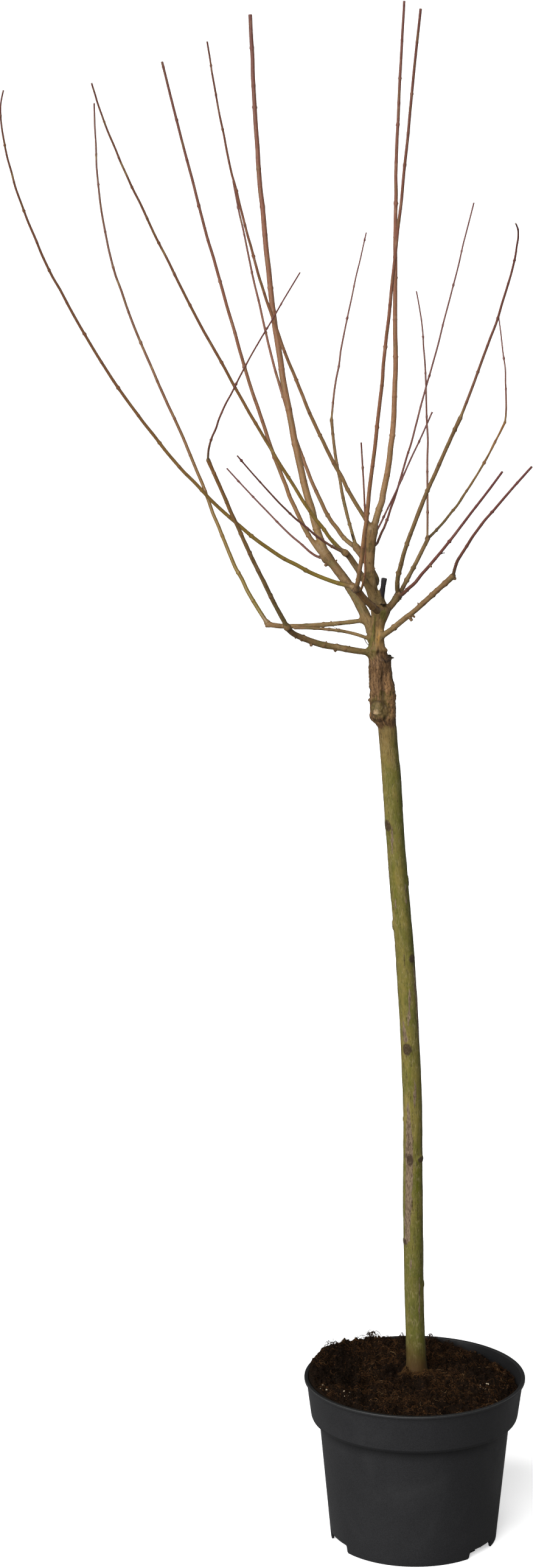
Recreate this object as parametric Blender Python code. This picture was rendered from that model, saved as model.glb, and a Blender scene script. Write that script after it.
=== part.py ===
"""A dappled willow grafted on a bare stem, leafless in winter, standing in its nursery pot.

Metres, +Z up. The origin is the centre of the pot's flat underside. The plant is seen from -Y.
The pot, the compost, the trunk, every bough and every long shoot is one closed solid.
Each limb grows from a place on its parent: it heads for its knee and bends from there to its tip.
"""

import math

import bmesh
import bpy
import numpy as np
from mathutils import Vector

FIT_GAP = 0.0003  # clearance wherever one solid meets the next

# pot
POT_HEIGHT = 0.1775
RIM_RADIUS = 0.115
LIP_HEIGHT = 0.0034
LIP_OVERHANG = 0.0023
COLLAR_FOOT_RADIUS = 0.1078
COLLAR_FOOT_HEIGHT = 0.1365
BODY_TOP_RADIUS = 0.0994
BODY_TOP_HEIGHT = 0.1325
COLLAR_ROUNDING = (0.0072, 0.0012)  # how far out and up its lower edge is from the top of the body
INNER_STEP = (0.1337, 0.1377)  # the same step inside, from foot to head
BASE_RADIUS = 0.0868
POT_WALL = 0.0018
ROUND_SEGMENTS = 60
NOTCH_COUNT = 3
NOTCH_FIRST_ANGLE = math.radians(203)
NOTCH_WIDTH = 0.039
NOTCH_HEIGHT = 0.008
NOTCH_DEPTH = 0.013
NOTCH_OVERRUN = 0.006

# compost
COMPOST_RINGS = (0.86, 0.70, 0.52, 0.34, 0.20)  # shares of the way from the trunk to the edge
COMPOST_AT_TRUNK = 0.1762
COMPOST_SOLE_RADIUS = 0.070
COMPOST_HEEL_HEIGHT = 0.013
LEAST_EDGE_DROP = 0.0010  # the heaped left edge under the rim
MORE_EDGE_DROP = 0.0165  # how much lower the right edge is
LOW_SIDE = math.radians(12)
LOW_SIDE_POWER = 3
LUMP_HEIGHT = 0.0016
LEVEL_RADIUS = 0.0135  # level patch that the trunk stands on

# trunk
TRUNK_FOOT_DEPTH = 0.020
TRUNK_SIDES = 18
TRUNK_STEP = 0.045
TRUNK_STATIONS = (
    # height, reach in x, radius
    (0.1765, 0.0025, 0.0114),  # flat cut, with the flare of the foot
    (0.1850, 0.0022, 0.0107),
    (0.2100, 0.0011, 0.0103),
    (0.3230, -0.0019, 0.0103),
    (0.4900, -0.0049, 0.0100),
    (0.6310, -0.0132, 0.0096),
    (0.7420, -0.0226, 0.0094),
    (0.8280, -0.0288, 0.0095),
    (0.8600, -0.0316, 0.0096),
    (0.8700, -0.0325, 0.0098),
    (0.8745, -0.0330, 0.0099),
    (0.8778, -0.0342, 0.0107),  # lower edge of the graft
    (0.8815, -0.0361, 0.0125),
    (0.8930, -0.0372, 0.0134),
    (0.9090, -0.0376, 0.0129),
    (0.9280, -0.0396, 0.0118),
    (0.9430, -0.0403, 0.0115),  # cut top of the rootstock
    (0.9480, -0.0425, 0.0092),
    (0.9560, -0.0434, 0.0072),  # the grafted willow's own stem
    (0.9720, -0.0432, 0.0065),
    (0.9860, -0.0424, 0.0073),
    (0.9970, -0.0409, 0.0082),  # fork
)

# limbs
BOUGH_STEP = 0.013
SHOOT_STEP = 0.024
KNUCKLE_SWELL = 0.18  # how much a bough thickens where its shoots spring
KNUCKLE_LENGTH = 0.007
PLAIN_EASE = (2 / 3, 2 / 3)
FOOT_SEARCH = 0.7
FOOT_SAMPLES = 90
THICK_SHOOT = 0.003

# Old wood. on: the parent; at: the share of the way along it; girth: radius at foot and tip.
BOUGHS = {
    "centre_bough": dict(
        on="trunk", at=1.0, knee=(-0.056, 0.002, 1.016), tip=(-0.049, 0.005, 1.077), girth=(0.0052, 0.0050)
    ),
    "leader_stub": dict(
        on="trunk", at=1.0, knee=(-0.039, 0.000, 1.012), tip=(-0.037, 0.000, 1.028), girth=(0.0030, 0.0024)
    ),
    "left_bough": dict(
        on="trunk", at=0.954, knee=(-0.061, 0.023, 1.009), tip=(-0.094, 0.045, 1.040), girth=(0.0052, 0.0046)
    ),
    "front_bough": dict(
        on="trunk", at=0.997, knee=(-0.045, -0.021, 0.998), tip=(-0.067, -0.042, 1.029), girth=(0.0033, 0.0035)
    ),
    "inner_bough": dict(
        on="centre_bough", at=0.10, knee=(-0.070, -0.013, 1.055), tip=(-0.076, -0.022, 1.059), girth=(0.0030, 0.0030)
    ),
    "back_bough": dict(
        on="centre_bough", at=0.45, knee=(-0.034, 0.026, 1.014), tip=(-0.064, 0.050, 1.049), girth=(0.0030, 0.0034)
    ),
    "right_bough": dict(
        on="trunk", at=0.997, knee=(-0.040, 0.005, 0.983), tip=(-0.022, 0.010, 1.009), girth=(0.0038, 0.0030)
    ),
    "low_left_bough": dict(
        on="trunk", at=0.944, knee=(-0.125, -0.022, 0.966), tip=(-0.134, -0.045, 0.989), girth=(0.0034, 0.0027)
    ),
    "low_right_bough": dict(
        on="trunk", at=0.964, knee=(-0.037, -0.017, 0.970), tip=(0.031, -0.035, 1.039), girth=(0.0031, 0.0026)
    ),
    "level_left_bough": dict(
        on="left_bough", at=0.25, knee=(-0.132, 0.027, 0.969), tip=(-0.153, 0.045, 0.971), girth=(0.0022, 0.0027)
    ),
    "level_left_spur": dict(
        on="trunk", at=0.956, knee=(-0.064, 0.010, 0.975), tip=(-0.127, 0.020, 0.973), girth=(0.0019, 0.0014)
    ),
    "right_outer_bough": dict(
        on="right_bough", at=1.0, knee=(-0.034, -0.030, 1.042), tip=(0.035, -0.070, 1.205), girth=(0.0024, 0.0019)
    ),
    "right_inner_bough": dict(
        on="right_bough", at=1.0, knee=(0.010, 0.022, 1.067), tip=(0.007, 0.035, 1.061), girth=(0.0021, 0.0019)
    ),
    "low_left_riser": dict(
        on="low_left_bough", at=1.0, knee=(-0.166, -0.088, 1.058), tip=(-0.211, -0.130, 1.175), girth=(0.0024, 0.0018)
    ),
    "back_riser": dict(
        on="back_bough", at=1.0, knee=(-0.083, 0.070, 1.108), tip=(-0.089, 0.090, 1.172), girth=(0.0018, 0.0015)
    ),
    "right_back_riser": dict(
        on="right_inner_bough", at=1.0, knee=(0.047, 0.103, 1.081), tip=(0.090, 0.170, 1.154), girth=(0.0015, 0.0011)
    ),
}

# The bare crown's masses: its long shoots. sway: side bends in x of two and of three half waves.
SHOOTS = {
    "shoot_left_stout": dict(
        on="left_bough", at=1.0, knee=(-0.156, 0.119, 1.200), tip=(-0.171, 0.210, 1.565), girth=(0.0040, 0.0020)
    ),
    "shoot_left_tall": dict(
        on="left_bough", at=1.0, knee=(-0.143, 0.068, 1.067), tip=(-0.258, 0.090, 1.532), girth=(0.0025, 0.0013)
    ),
    "shoot_left_low": dict(
        on="left_bough", at=1.0, knee=(-0.103, 0.088, 1.019), tip=(-0.195, 0.130, 1.114), girth=(0.0015, 0.0008)
    ),
    "shoot_front_tall": dict(
        on="front_bough", at=1.0, knee=(-0.066, -0.121, 0.998), tip=(-0.011, -0.200, 1.616), girth=(0.0027, 0.0013)
    ),
    "shoot_front_left": dict(
        on="front_bough", at=1.0, knee=(-0.521, -0.107, 1.128), tip=(-0.403, -0.150, 1.534), girth=(0.0022, 0.0008),
        ease=(0.38, 0.24)
    ),
    "shoot_front_short": dict(
        on="front_bough", at=1.0, knee=(-0.050, -0.058, 1.005), tip=(-0.062, -0.075, 1.181), girth=(0.0012, 0.0009)
    ),
    "shoot_centre_tall": dict(
        on="centre_bough", at=1.0, knee=(-0.021, 0.038, 1.147), tip=(-0.019, 0.070, 1.594), girth=(0.0036, 0.0013),
        sway=(0.0042, -0.0013)
    ),
    "shoot_crossing": dict(
        on="centre_bough", at=1.0, knee=(-0.167, -0.048, 1.273), tip=(-0.211, -0.100, 1.574), girth=(0.0022, 0.0009)
    ),
    "shoot_centre_back": dict(
        on="centre_bough", at=0.85, knee=(-0.035, 0.127, 1.012), tip=(0.059, 0.250, 1.368), girth=(0.0015, 0.0008)
    ),
    "shoot_centre_short": dict(
        on="centre_bough", at=1.0, knee=(-0.064, 0.052, 1.013), tip=(0.013, 0.100, 1.178), girth=(0.0012, 0.0009)
    ),
    "shoot_back_tall": dict(
        on="back_bough", at=1.0, knee=(-0.122, 0.155, 1.059), tip=(-0.189, 0.260, 1.389), girth=(0.0025, 0.0009)
    ),
    "shoot_back_thin": dict(
        on="back_riser", at=1.0, knee=(-0.083, 0.135, 1.230), tip=(-0.053, 0.180, 1.348), girth=(0.0012, 0.0007)
    ),
    "shoot_wide_left": dict(
        on="inner_bough", at=1.0, knee=(-0.232, -0.051, 1.162), tip=(-0.322, -0.080, 1.532), girth=(0.0021, 0.0009),
        ease=(0.26, 0.28)
    ),
    "shoot_inner_short": dict(
        on="inner_bough", at=1.0, knee=(-0.116, -0.056, 1.082), tip=(-0.183, -0.090, 1.171), girth=(0.0014, 0.0008)
    ),
    "shoot_outer_left": dict(
        on="level_left_bough", at=1.0, knee=(-0.268, 0.103, 1.123), tip=(-0.328, 0.160, 1.482), girth=(0.0022, 0.0009),
        sway=(0.0095, -0.0049)
    ),
    "shoot_thin_crossing": dict(
        on="low_left_riser", at=1.0, knee=(-0.213, -0.175, 1.216), tip=(-0.123, -0.220, 1.372), girth=(0.0012, 0.0007)
    ),
    "shoot_right_tall": dict(
        on="right_outer_bough", at=1.0, knee=(0.098, -0.105, 1.380), tip=(0.083, -0.140, 1.406), girth=(0.0015, 0.0008)
    ),
    "shoot_right_low": dict(
        on="right_bough", at=1.0, knee=(-0.016, -0.035, 1.013), tip=(0.076, -0.080, 1.153), girth=(0.0021, 0.0012)
    ),
    "shoot_right_upright": dict(
        on="right_inner_bough", at=1.0, knee=(0.009, 0.068, 1.247), tip=(-0.004, 0.100, 1.301), girth=(0.0012, 0.0007)
    ),
    "shoot_right_back": dict(
        on="right_back_riser", at=1.0, knee=(0.096, 0.200, 1.178), tip=(0.085, 0.230, 1.253), girth=(0.0011, 0.0007)
    ),
    "shoot_far_right": dict(
        on="low_right_bough", at=1.0, knee=(0.030, -0.082, 1.075), tip=(0.102, -0.130, 1.168), girth=(0.0018, 0.0012)
    ),
}

POT_COLOUR = (0.022, 0.022, 0.024, 1)
COMPOST_COLOUR = (0.030, 0.014, 0.006, 1)
TRUNK_COLOUR = (0.115, 0.100, 0.030, 1)
BOUGH_COLOUR = (0.170, 0.105, 0.050, 1)
SHOOT_COLOUR = (0.155, 0.048, 0.024, 1)

lines = {}  # every limb made so far: its centre points and radii, foot to tip


def plain_material(name, colour, roughness):
    material = bpy.data.materials.new(name)
    material.use_nodes = True
    surface = material.node_tree.nodes["Principled BSDF"]
    surface.inputs["Base Color"].default_value = colour
    surface.inputs["Roughness"].default_value = roughness
    surface.inputs["Metallic"].default_value = 0
    material.diffuse_color = colour
    return material


def place(name, data, colour, roughness=0.7):
    part = bpy.data.objects.new(name, data)
    bpy.context.scene.collection.objects.link(part)
    data.materials.append(plain_material(name, colour, roughness))
    return part


def loft(name, rings, colour):
    """Joins rings of points, bottom to top, into one solid with flat ends."""
    shape = bmesh.new()
    loops = [[shape.verts.new(point) for point in ring] for ring in rings]
    for low, high in zip(loops, loops[1:]):
        for i in range(len(low)):
            j = (i + 1) % len(low)
            shape.faces.new((low[i], low[j], high[j], high[i]))
    shape.faces.new(reversed(loops[0]))
    shape.faces.new(loops[-1])
    bmesh.ops.recalc_face_normals(shape, faces=shape.faces)
    mesh = bpy.data.meshes.new(name)
    shape.to_mesh(mesh)
    shape.free()
    mesh.shade_smooth()
    mesh.set_sharp_from_angle(angle=math.radians(40))
    return place(name, mesh, colour)


def turned(name, profile, colour):
    """Turns a profile of (radius, height), which starts and ends on the axis, round the Z axis."""
    shape = bmesh.new()
    points = [shape.verts.new((radius, 0, height)) for radius, height in profile]
    edges = [shape.edges.new(pair) for pair in zip(points, points[1:])]
    bmesh.ops.spin(
        shape, geom=points + edges, cent=(0, 0, 0), axis=(0, 0, 1), angle=math.tau, steps=ROUND_SEGMENTS,
        use_duplicate=False
    )
    bmesh.ops.remove_doubles(shape, verts=shape.verts, dist=0.00001)
    bmesh.ops.recalc_face_normals(shape, faces=shape.faces)
    mesh = bpy.data.meshes.new(name)
    shape.to_mesh(mesh)
    shape.free()
    mesh.shade_smooth()
    mesh.set_sharp_from_angle(angle=math.radians(30))
    return place(name, mesh, colour, 0.55)


def wall_radius(height):
    """Inner radius of the pot at a height."""
    heights = (0, *INNER_STEP, POT_HEIGHT)
    outer = (BASE_RADIUS, BODY_TOP_RADIUS, COLLAR_FOOT_RADIUS, RIM_RADIUS - LIP_OVERHANG)
    return float(np.interp(height, heights, outer)) - POT_WALL


def make_pot():
    under_lip = POT_HEIGHT - LIP_HEIGHT
    outside = [
        (0, 0),
        (BASE_RADIUS, 0),
        (BODY_TOP_RADIUS, BODY_TOP_HEIGHT),
        (BODY_TOP_RADIUS + COLLAR_ROUNDING[0], BODY_TOP_HEIGHT + COLLAR_ROUNDING[1]),
        (COLLAR_FOOT_RADIUS, COLLAR_FOOT_HEIGHT),
        (RIM_RADIUS - LIP_OVERHANG, under_lip),
        (RIM_RADIUS, under_lip + 0.0006),
        (RIM_RADIUS, POT_HEIGHT),
    ]
    inside = [(wall_radius(h), h) for h in (POT_HEIGHT, *INNER_STEP[::-1], POT_WALL)]
    pot = turned("pot", outside + inside + [(0, POT_WALL)], POT_COLOUR)
    for i in range(NOTCH_COUNT):
        angle = NOTCH_FIRST_ANGLE + i * math.tau / NOTCH_COUNT
        reach = 0.5 * (NOTCH_DEPTH + NOTCH_OVERRUN)
        bpy.ops.mesh.primitive_cube_add(size=1)
        cutter = bpy.context.object
        cutter.name = f"drain_notch_{i + 1}"
        cutter.scale = (2 * reach, NOTCH_WIDTH, 2 * NOTCH_HEIGHT)
        centre = BASE_RADIUS - NOTCH_DEPTH + reach
        cutter.location = (centre * math.cos(angle), centre * math.sin(angle), 0)
        cutter.rotation_euler = (0, 0, angle)
        cutter.hide_render = True
        cutter.display_type = "WIRE"
        notch = pot.modifiers.new(cutter.name, "BOOLEAN")
        notch.operation = "DIFFERENCE"
        notch.object = cutter


def edge_height(angle):
    """Height of the compost along the pot's wall: heaped at the left, well under the rim at the right."""
    share = (0.5 + 0.5 * math.cos(angle - LOW_SIDE)) ** LOW_SIDE_POWER
    return POT_HEIGHT - LEAST_EDGE_DROP - MORE_EDGE_DROP * share


def compost_height(x, y):
    """Height of the loose compost between the trunk and the wall."""
    share = min(1.0, math.hypot(x, y) / RIM_RADIUS) ** 3
    lumps = math.sin(61 * x + 23 * y) * math.sin(47 * y - 31 * x + 1.3) + 0.6 * math.sin(131 * x + 3 * y)
    level = COMPOST_AT_TRUNK - LUMP_HEIGHT
    return level + (edge_height(math.atan2(y, x)) - level) * share + LUMP_HEIGHT * lumps * (1 - share)


def make_compost():
    foot_x, foot_y = TRUNK_STATIONS[0][1], TRUNK_FOOT_DEPTH
    angles = [math.tau * i / ROUND_SEGMENTS for i in range(ROUND_SEGMENTS)]

    def circle(x, y, radius, height):
        return [(x + radius * math.cos(a), y + radius * math.sin(a), height) for a in angles]

    rings = [circle(0, 0, COMPOST_SOLE_RADIUS, POT_WALL + FIT_GAP)]
    for height in (COMPOST_HEEL_HEIGHT, *INNER_STEP):
        rings.append(circle(0, 0, wall_radius(height) - FIT_GAP, height))
    edge = []
    for a in angles:
        radius = wall_radius(edge_height(a)) - FIT_GAP
        edge.append((radius * math.cos(a), radius * math.sin(a), edge_height(a)))
    rings.append(edge)
    for share in COMPOST_RINGS:
        ring = [(foot_x + share * (x - foot_x), foot_y + share * (y - foot_y)) for x, y, _ in edge]
        rings.append([(x, y, compost_height(x, y)) for x, y in ring])
    rings.append(circle(foot_x, foot_y, LEVEL_RADIUS, COMPOST_AT_TRUNK))
    return loft("compost", rings, COMPOST_COLOUR)


def trunk_stations():
    """Centres and radii of the trunk's level rings, with smooth ones between far stations."""
    table = np.array(TRUNK_STATIONS)
    heights = [table[0, 0]]
    for low, high in zip(table[:, 0], table[1:, 0]):
        steps = max(1, round((high - low) / TRUNK_STEP))
        heights.extend(low + (high - low) * (i + 1) / steps for i in range(steps))
    heights = np.array(heights)
    slopes = np.gradient(table[:, 1:], table[:, 0], axis=0)
    span = np.clip(np.searchsorted(table[:, 0], heights, side="right") - 1, 0, len(table) - 2)
    length = table[span + 1, 0] - table[span, 0]
    t = ((heights - table[span, 0]) / length)[:, None]
    length = length[:, None]
    low, high = table[span, 1:], table[span + 1, 1:]
    values = (
        (2 * t**3 - 3 * t**2 + 1) * low
        + (t**3 - 2 * t**2 + t) * length * slopes[span]
        + (3 * t**2 - 2 * t**3) * high
        + (t**3 - t**2) * length * slopes[span + 1]
    )
    share = (heights - heights[0]) / (heights[-1] - heights[0])
    depths = TRUNK_FOOT_DEPTH * (1 - share)
    return np.stack([values[:, 0], depths, heights], axis=1), values[:, 1]


def make_trunk():
    centres, radii = trunk_stations()
    turns = [math.tau * i / TRUNK_SIDES for i in range(TRUNK_SIDES)]
    rings = [
        [(x + radius * math.cos(a), y + radius * math.sin(a), z) for a in turns]
        for (x, y, z), radius in zip(centres, radii)
    ]
    lines["trunk"] = (centres, radii)
    return loft("trunk", rings, TRUNK_COLOUR)


def point_on(parent, share):
    """The point at a share of the height of the trunk, or of the way along a limb."""
    centres, _ = lines[parent]
    if parent == "trunk":
        ways = (centres[:, 2] - centres[0, 2]) / (centres[-1, 2] - centres[0, 2])
    else:
        ways = np.linspace(0, 1, len(centres))
    return np.array([np.interp(share, ways, centres[:, axis]) for axis in range(3)])


def limb_points(limb, foot, shares):
    """Points at shares of the way along a limb's curve, which leaves for its knee and ends coming from it."""
    knee, tip = np.array(limb["knee"]), np.array(limb["tip"])
    out, home = limb.get("ease", PLAIN_EASE)
    first, last = foot + out * (knee - foot), tip + home * (knee - tip)
    t = np.asarray(shares, dtype=float)[:, None]
    points = (1 - t) ** 3 * foot + 3 * t * (1 - t) ** 2 * first + 3 * t**2 * (1 - t) * last + t**3 * tip
    two, three = limb.get("sway", (0, 0))
    points[:, 0] += two * np.sin(2 * np.pi * t[:, 0]) + three * np.sin(3 * np.pi * t[:, 0])
    return points


def limb_radii(limb, shares, length, swell):
    """Even taper from foot to tip, with a knuckle at the tip of a bough."""
    shares = np.asarray(shares, dtype=float)
    foot, tip = limb["girth"]
    knuckle = swell * np.exp(-(((1 - shares) * length / KNUCKLE_LENGTH) ** 2))
    return (foot + (tip - foot) * shares) * (1 + knuckle)


def gap_to_made(points):
    """The least distance from these points to the limbs made so far.

    Each limb is a chain of cones with flat ends, square to the limb, or level for the trunk.
    """
    least = math.inf
    for name, (centres, radii) in lines.items():
        starts, spans = centres[:-1], np.diff(centres, axis=0)
        normals = spans / np.linalg.norm(spans, axis=1)[:, None]
        if name == "trunk":
            normals = np.tile((0.0, 0.0, 1.0), (len(spans), 1))
        heights = (spans * normals).sum(axis=1)
        away = points[:, None, :] - starts
        share = (away * normals).sum(axis=2) / heights
        off_axis = np.linalg.norm(away - share[..., None] * spans, axis=2)
        outside = off_axis - (radii[:-1] + np.diff(radii) * np.clip(share, 0, 1))
        beyond = np.maximum(np.maximum(-share, share - 1), 0) * heights
        gaps = np.where(beyond > 0, np.hypot(beyond, np.maximum(outside, 0)), outside)
        least = min(least, gaps.min())
    return least


def foot_disc(limb, foot, share, length, swell):
    """Points on the flat end that the limb would have at this share."""
    before, here, after = limb_points(limb, foot, (share - 0.004, share, share + 0.004))
    heading = Vector(after - before).normalized()
    side = heading.orthogonal().normalized()
    other = heading.cross(side)
    radius = limb_radii(limb, [share], length, swell)[0]
    turns = [math.tau * i / 16 for i in range(16)]
    rim = [np.array(side * math.cos(a) + other * math.sin(a)) for a in turns]
    return np.array([here] + [here + reach * radius * way for reach in (0.5, 1.0) for way in rim])


def clear_share(limb, foot, length, swell):
    """The share where the limb's flat foot is just clear of everything made before it."""

    def blocked(share):
        return gap_to_made(foot_disc(limb, foot, share, length, swell)) < 1.2 * FIT_GAP

    shares = np.linspace(0, FOOT_SEARCH, FOOT_SAMPLES)
    inside = [i for i, share in enumerate(shares) if blocked(share)]
    if not inside:
        return 0.0
    low, high = shares[inside[-1]], shares[min(inside[-1] + 1, len(shares) - 1)]
    for _ in range(10):
        middle = 0.5 * (low + high)
        if blocked(middle):
            low = middle
        else:
            high = middle
    return high


def make_limb(name, limb, step, swell, colour):
    foot = point_on(limb["on"], limb["at"])
    rough = limb_points(limb, foot, np.linspace(0, 1, 50))
    length = float(np.linalg.norm(np.diff(rough, axis=0), axis=1).sum())
    start = clear_share(limb, foot, length, swell)
    count = max(5, round(length * (1 - start) / step) + 1)
    shares = np.linspace(start, 1, count)
    if swell:
        shares = np.sort(np.append(shares, 1 - 0.8 * KNUCKLE_LENGTH / length))
    centres = limb_points(limb, foot, shares)
    radii = limb_radii(limb, shares, length, swell)

    curve = bpy.data.curves.new(name, "CURVE")
    curve.dimensions = "3D"
    curve.bevel_depth = 1.0
    curve.bevel_resolution = 2 if swell or radii.max() > THICK_SHOOT else 1
    curve.use_fill_caps = True
    spline = curve.splines.new("POLY")
    spline.points.add(len(centres) - 1)
    for point, centre, radius in zip(spline.points, centres, radii):
        point.co = (*centre, 1)
        point.radius = radius
    place(name, curve, colour)

    whole = np.linspace(0, 1, 40)
    lines[name] = (limb_points(limb, foot, whole), limb_radii(limb, whole, length, swell))


for old in list(bpy.data.objects):
    bpy.data.objects.remove(old)

make_pot()
make_compost()
make_trunk()
for name, limb in BOUGHS.items():
    make_limb(name, limb, BOUGH_STEP, 0 if name == "leader_stub" else KNUCKLE_SWELL, BOUGH_COLOUR)
for name, limb in SHOOTS.items():
    make_limb(name, limb, SHOOT_STEP, 0, SHOOT_COLOUR)
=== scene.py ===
import math

import bpy
import numpy as np
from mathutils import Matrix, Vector


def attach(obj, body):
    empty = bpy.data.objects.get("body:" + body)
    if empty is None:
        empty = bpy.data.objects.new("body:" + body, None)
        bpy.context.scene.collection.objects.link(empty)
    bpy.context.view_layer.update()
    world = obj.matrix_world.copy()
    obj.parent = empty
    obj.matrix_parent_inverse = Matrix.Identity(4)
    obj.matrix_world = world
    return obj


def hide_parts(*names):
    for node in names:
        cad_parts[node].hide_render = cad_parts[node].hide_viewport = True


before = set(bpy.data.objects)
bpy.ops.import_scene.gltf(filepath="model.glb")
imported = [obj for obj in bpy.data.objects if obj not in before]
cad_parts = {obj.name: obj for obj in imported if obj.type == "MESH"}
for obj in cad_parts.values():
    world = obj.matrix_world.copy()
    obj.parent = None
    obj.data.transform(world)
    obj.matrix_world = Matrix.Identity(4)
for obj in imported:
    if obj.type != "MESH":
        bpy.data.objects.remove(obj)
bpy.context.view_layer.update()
print("frame loaded,", len(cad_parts), "solids")

mm = 0.001
fullTurn = 2 * math.pi


# numbers and noise
def ease(low, high, value):  # smooth step from 0 at low to 1 at high
    share = np.clip((value - low) / (high - low), 0, 1)
    return share * share * (3 - 2 * share)


def bell(value, middle, width):  # 1 at the middle, falling off as a bell
    return np.exp(-(((value - middle) / width) ** 2))


def turnGap(turns, middle):  # how far round from the middle, from -pi to pi
    return (turns - middle + math.pi) % fullTurn - math.pi


def cloudNoise(places, seed):  # random values on a lattice, eased between the eight corners of each cell, -1 to 1
    lattice = np.random.default_rng(seed).random((32, 32, 32)) * 2 - 1
    cell = np.floor(places).astype(int)
    part = places - cell
    part = part * part * (3 - 2 * part)
    total = np.zeros(places.shape[:-1])
    for corner in range(8):
        bits = np.array([(corner >> axis) & 1 for axis in range(3)])
        spot = (cell + bits) % 32
        weight = np.prod(np.where(bits == 1, part, 1 - part), axis=-1)
        total += weight * lattice[spot[..., 0], spot[..., 1], spot[..., 2]]
    return total


def roughNoise(places, seed, layers=3):  # each layer is twice as fine and half as strong
    return sum(cloudNoise(places * 2**i, seed + i) * 0.5**i for i in range(layers))


def unit(vectors):
    return vectors / np.maximum(np.linalg.norm(vectors, axis=-1, keepdims=True), 1e-12)


# meshes
def addPiece(name, points, faces, material, replaced=(), masks=None, sharpAngle=None):
    mesh = bpy.data.meshes.new(name)
    mesh.from_pydata(points.tolist(), [], faces)
    for mask, values in (masks or {}).items():
        kind, field = ("FLOAT_VECTOR", "vector") if values.ndim == 2 else ("FLOAT", "value")
        layer = mesh.attributes.new(mask, kind, "POINT")
        layer.data.foreach_set(field, values.astype(np.float32).ravel())
    mesh.shade_smooth()
    if sharpAngle:
        mesh.set_sharp_from_angle(angle=math.radians(sharpAngle))
    mesh.materials.append(material)
    piece = bpy.data.objects.new(name, mesh)
    bpy.context.scene.collection.objects.link(piece)
    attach(piece, "root")
    if replaced:
        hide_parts(*replaced)
    return piece


def tubeFaces(rings, sides):  # quads between rings that wrap round, and a fan onto a middle point at each end
    index = np.arange(rings * sides).reshape(rings, sides)
    after = np.roll(index, -1, axis=1)
    quads = np.stack([index[:-1], after[:-1], after[1:], index[1:]], axis=-1).reshape(-1, 4)
    low, high = np.full(sides, rings * sides), np.full(sides, rings * sides + 1)
    fans = np.concatenate([np.stack([low, after[0], index[0]], -1), np.stack([high, index[-1], after[-1]], -1)])
    return quads.tolist() + fans.tolist()


def closedRings(grid):  # the grid's points, then the middles of its first and last rings
    return np.concatenate([grid.reshape(-1, 3), grid[[0, -1]].mean(axis=1)])


def closedValues(values):  # the same for one value a point
    flat = values.reshape(-1, *values.shape[2:])
    return np.concatenate([flat, values[[0, -1]].mean(axis=1)])


def railFrames(line, level=False):  # headings of a line, and two square directions that don't twist along it
    if level:
        flat = np.zeros_like(line)
        return flat + (0, 0, 1), flat + (1, 0, 0), flat + (0, 1, 0)
    heading = unit(np.gradient(line, axis=0))
    plane = np.cross(heading[0], heading[-1])
    if np.linalg.norm(plane) < 0.02:
        plane = np.cross(heading[0], (0.31, 0.95, 0.05))
    plane = unit(plane)
    side = unit(plane - heading * (heading @ plane)[:, None])
    return heading, side, np.cross(heading, side)


# shader helpers
def addNode(tree, kind, feeds=None, **settings):
    made = tree.nodes.new("ShaderNode" + kind)
    for name, value in settings.items():
        setattr(made, name, value)
    for name, value in (feeds or {}).items():
        plug(tree, made.inputs[name], value)
    return made


def plug(tree, socket, value):
    if isinstance(value, bpy.types.NodeSocket):
        tree.links.new(value, socket)
    else:
        socket.default_value = value


def mathOf(tree, operation, first, second=0.0):
    made = tree.nodes.new("ShaderNodeMath")
    made.operation = operation
    plug(tree, made.inputs[0], first)
    plug(tree, made.inputs[1], second)
    return made.outputs[0]


def mixOf(tree, share, first, second, blend="MIX"):
    made = tree.nodes.new("ShaderNodeMix")
    made.data_type = "RGBA"
    made.blend_type = blend
    plug(tree, made.inputs[0], share)
    for socket, value in ((made.inputs[6], first), (made.inputs[7], second)):
        plug(tree, socket, value if isinstance(value, bpy.types.NodeSocket) else (*value, 1.0))
    return made.outputs[2]


def spanOf(tree, value, low, high, bottom=0.0, top=1.0):
    feeds = {"Value": value, "From Min": low, "From Max": high, "To Min": bottom, "To Max": top}
    return addNode(tree, "MapRange", feeds, interpolation_type="SMOOTHSTEP").outputs[0]


def scaledPlace(tree, place, scale):
    made = tree.nodes.new("ShaderNodeVectorMath")
    made.operation = "MULTIPLY"
    plug(tree, made.inputs[0], place)
    plug(tree, made.inputs[1], scale)
    return made.outputs[0]


def noiseOf(tree, place, scale, detail=4.0, rough=0.55, distortion=0.0):
    feeds = {"Vector": place, "Scale": scale, "Detail": detail, "Roughness": rough, "Distortion": distortion}
    return addNode(tree, "TexNoise", feeds).outputs[0]


def maskOf(tree, name):
    return addNode(tree, "Attribute", attribute_name=name).outputs["Fac"]


def newGroup(name, inputs, outputs):
    tree = bpy.data.node_groups.new(name, "ShaderNodeTree")
    for label, kind in inputs:
        tree.interface.new_socket(label, in_out="INPUT", socket_type="NodeSocket" + kind)
    for label, kind in outputs:
        tree.interface.new_socket(label, in_out="OUTPUT", socket_type="NodeSocket" + kind)
    return tree, tree.nodes.new("NodeGroupInput"), tree.nodes.new("NodeGroupOutput")


def useGroup(tree, group, feeds):
    made = tree.nodes.new("ShaderNodeGroup")
    made.node_tree = group
    for name, value in feeds.items():
        plug(tree, made.inputs[name], value)
    return made.outputs


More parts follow.
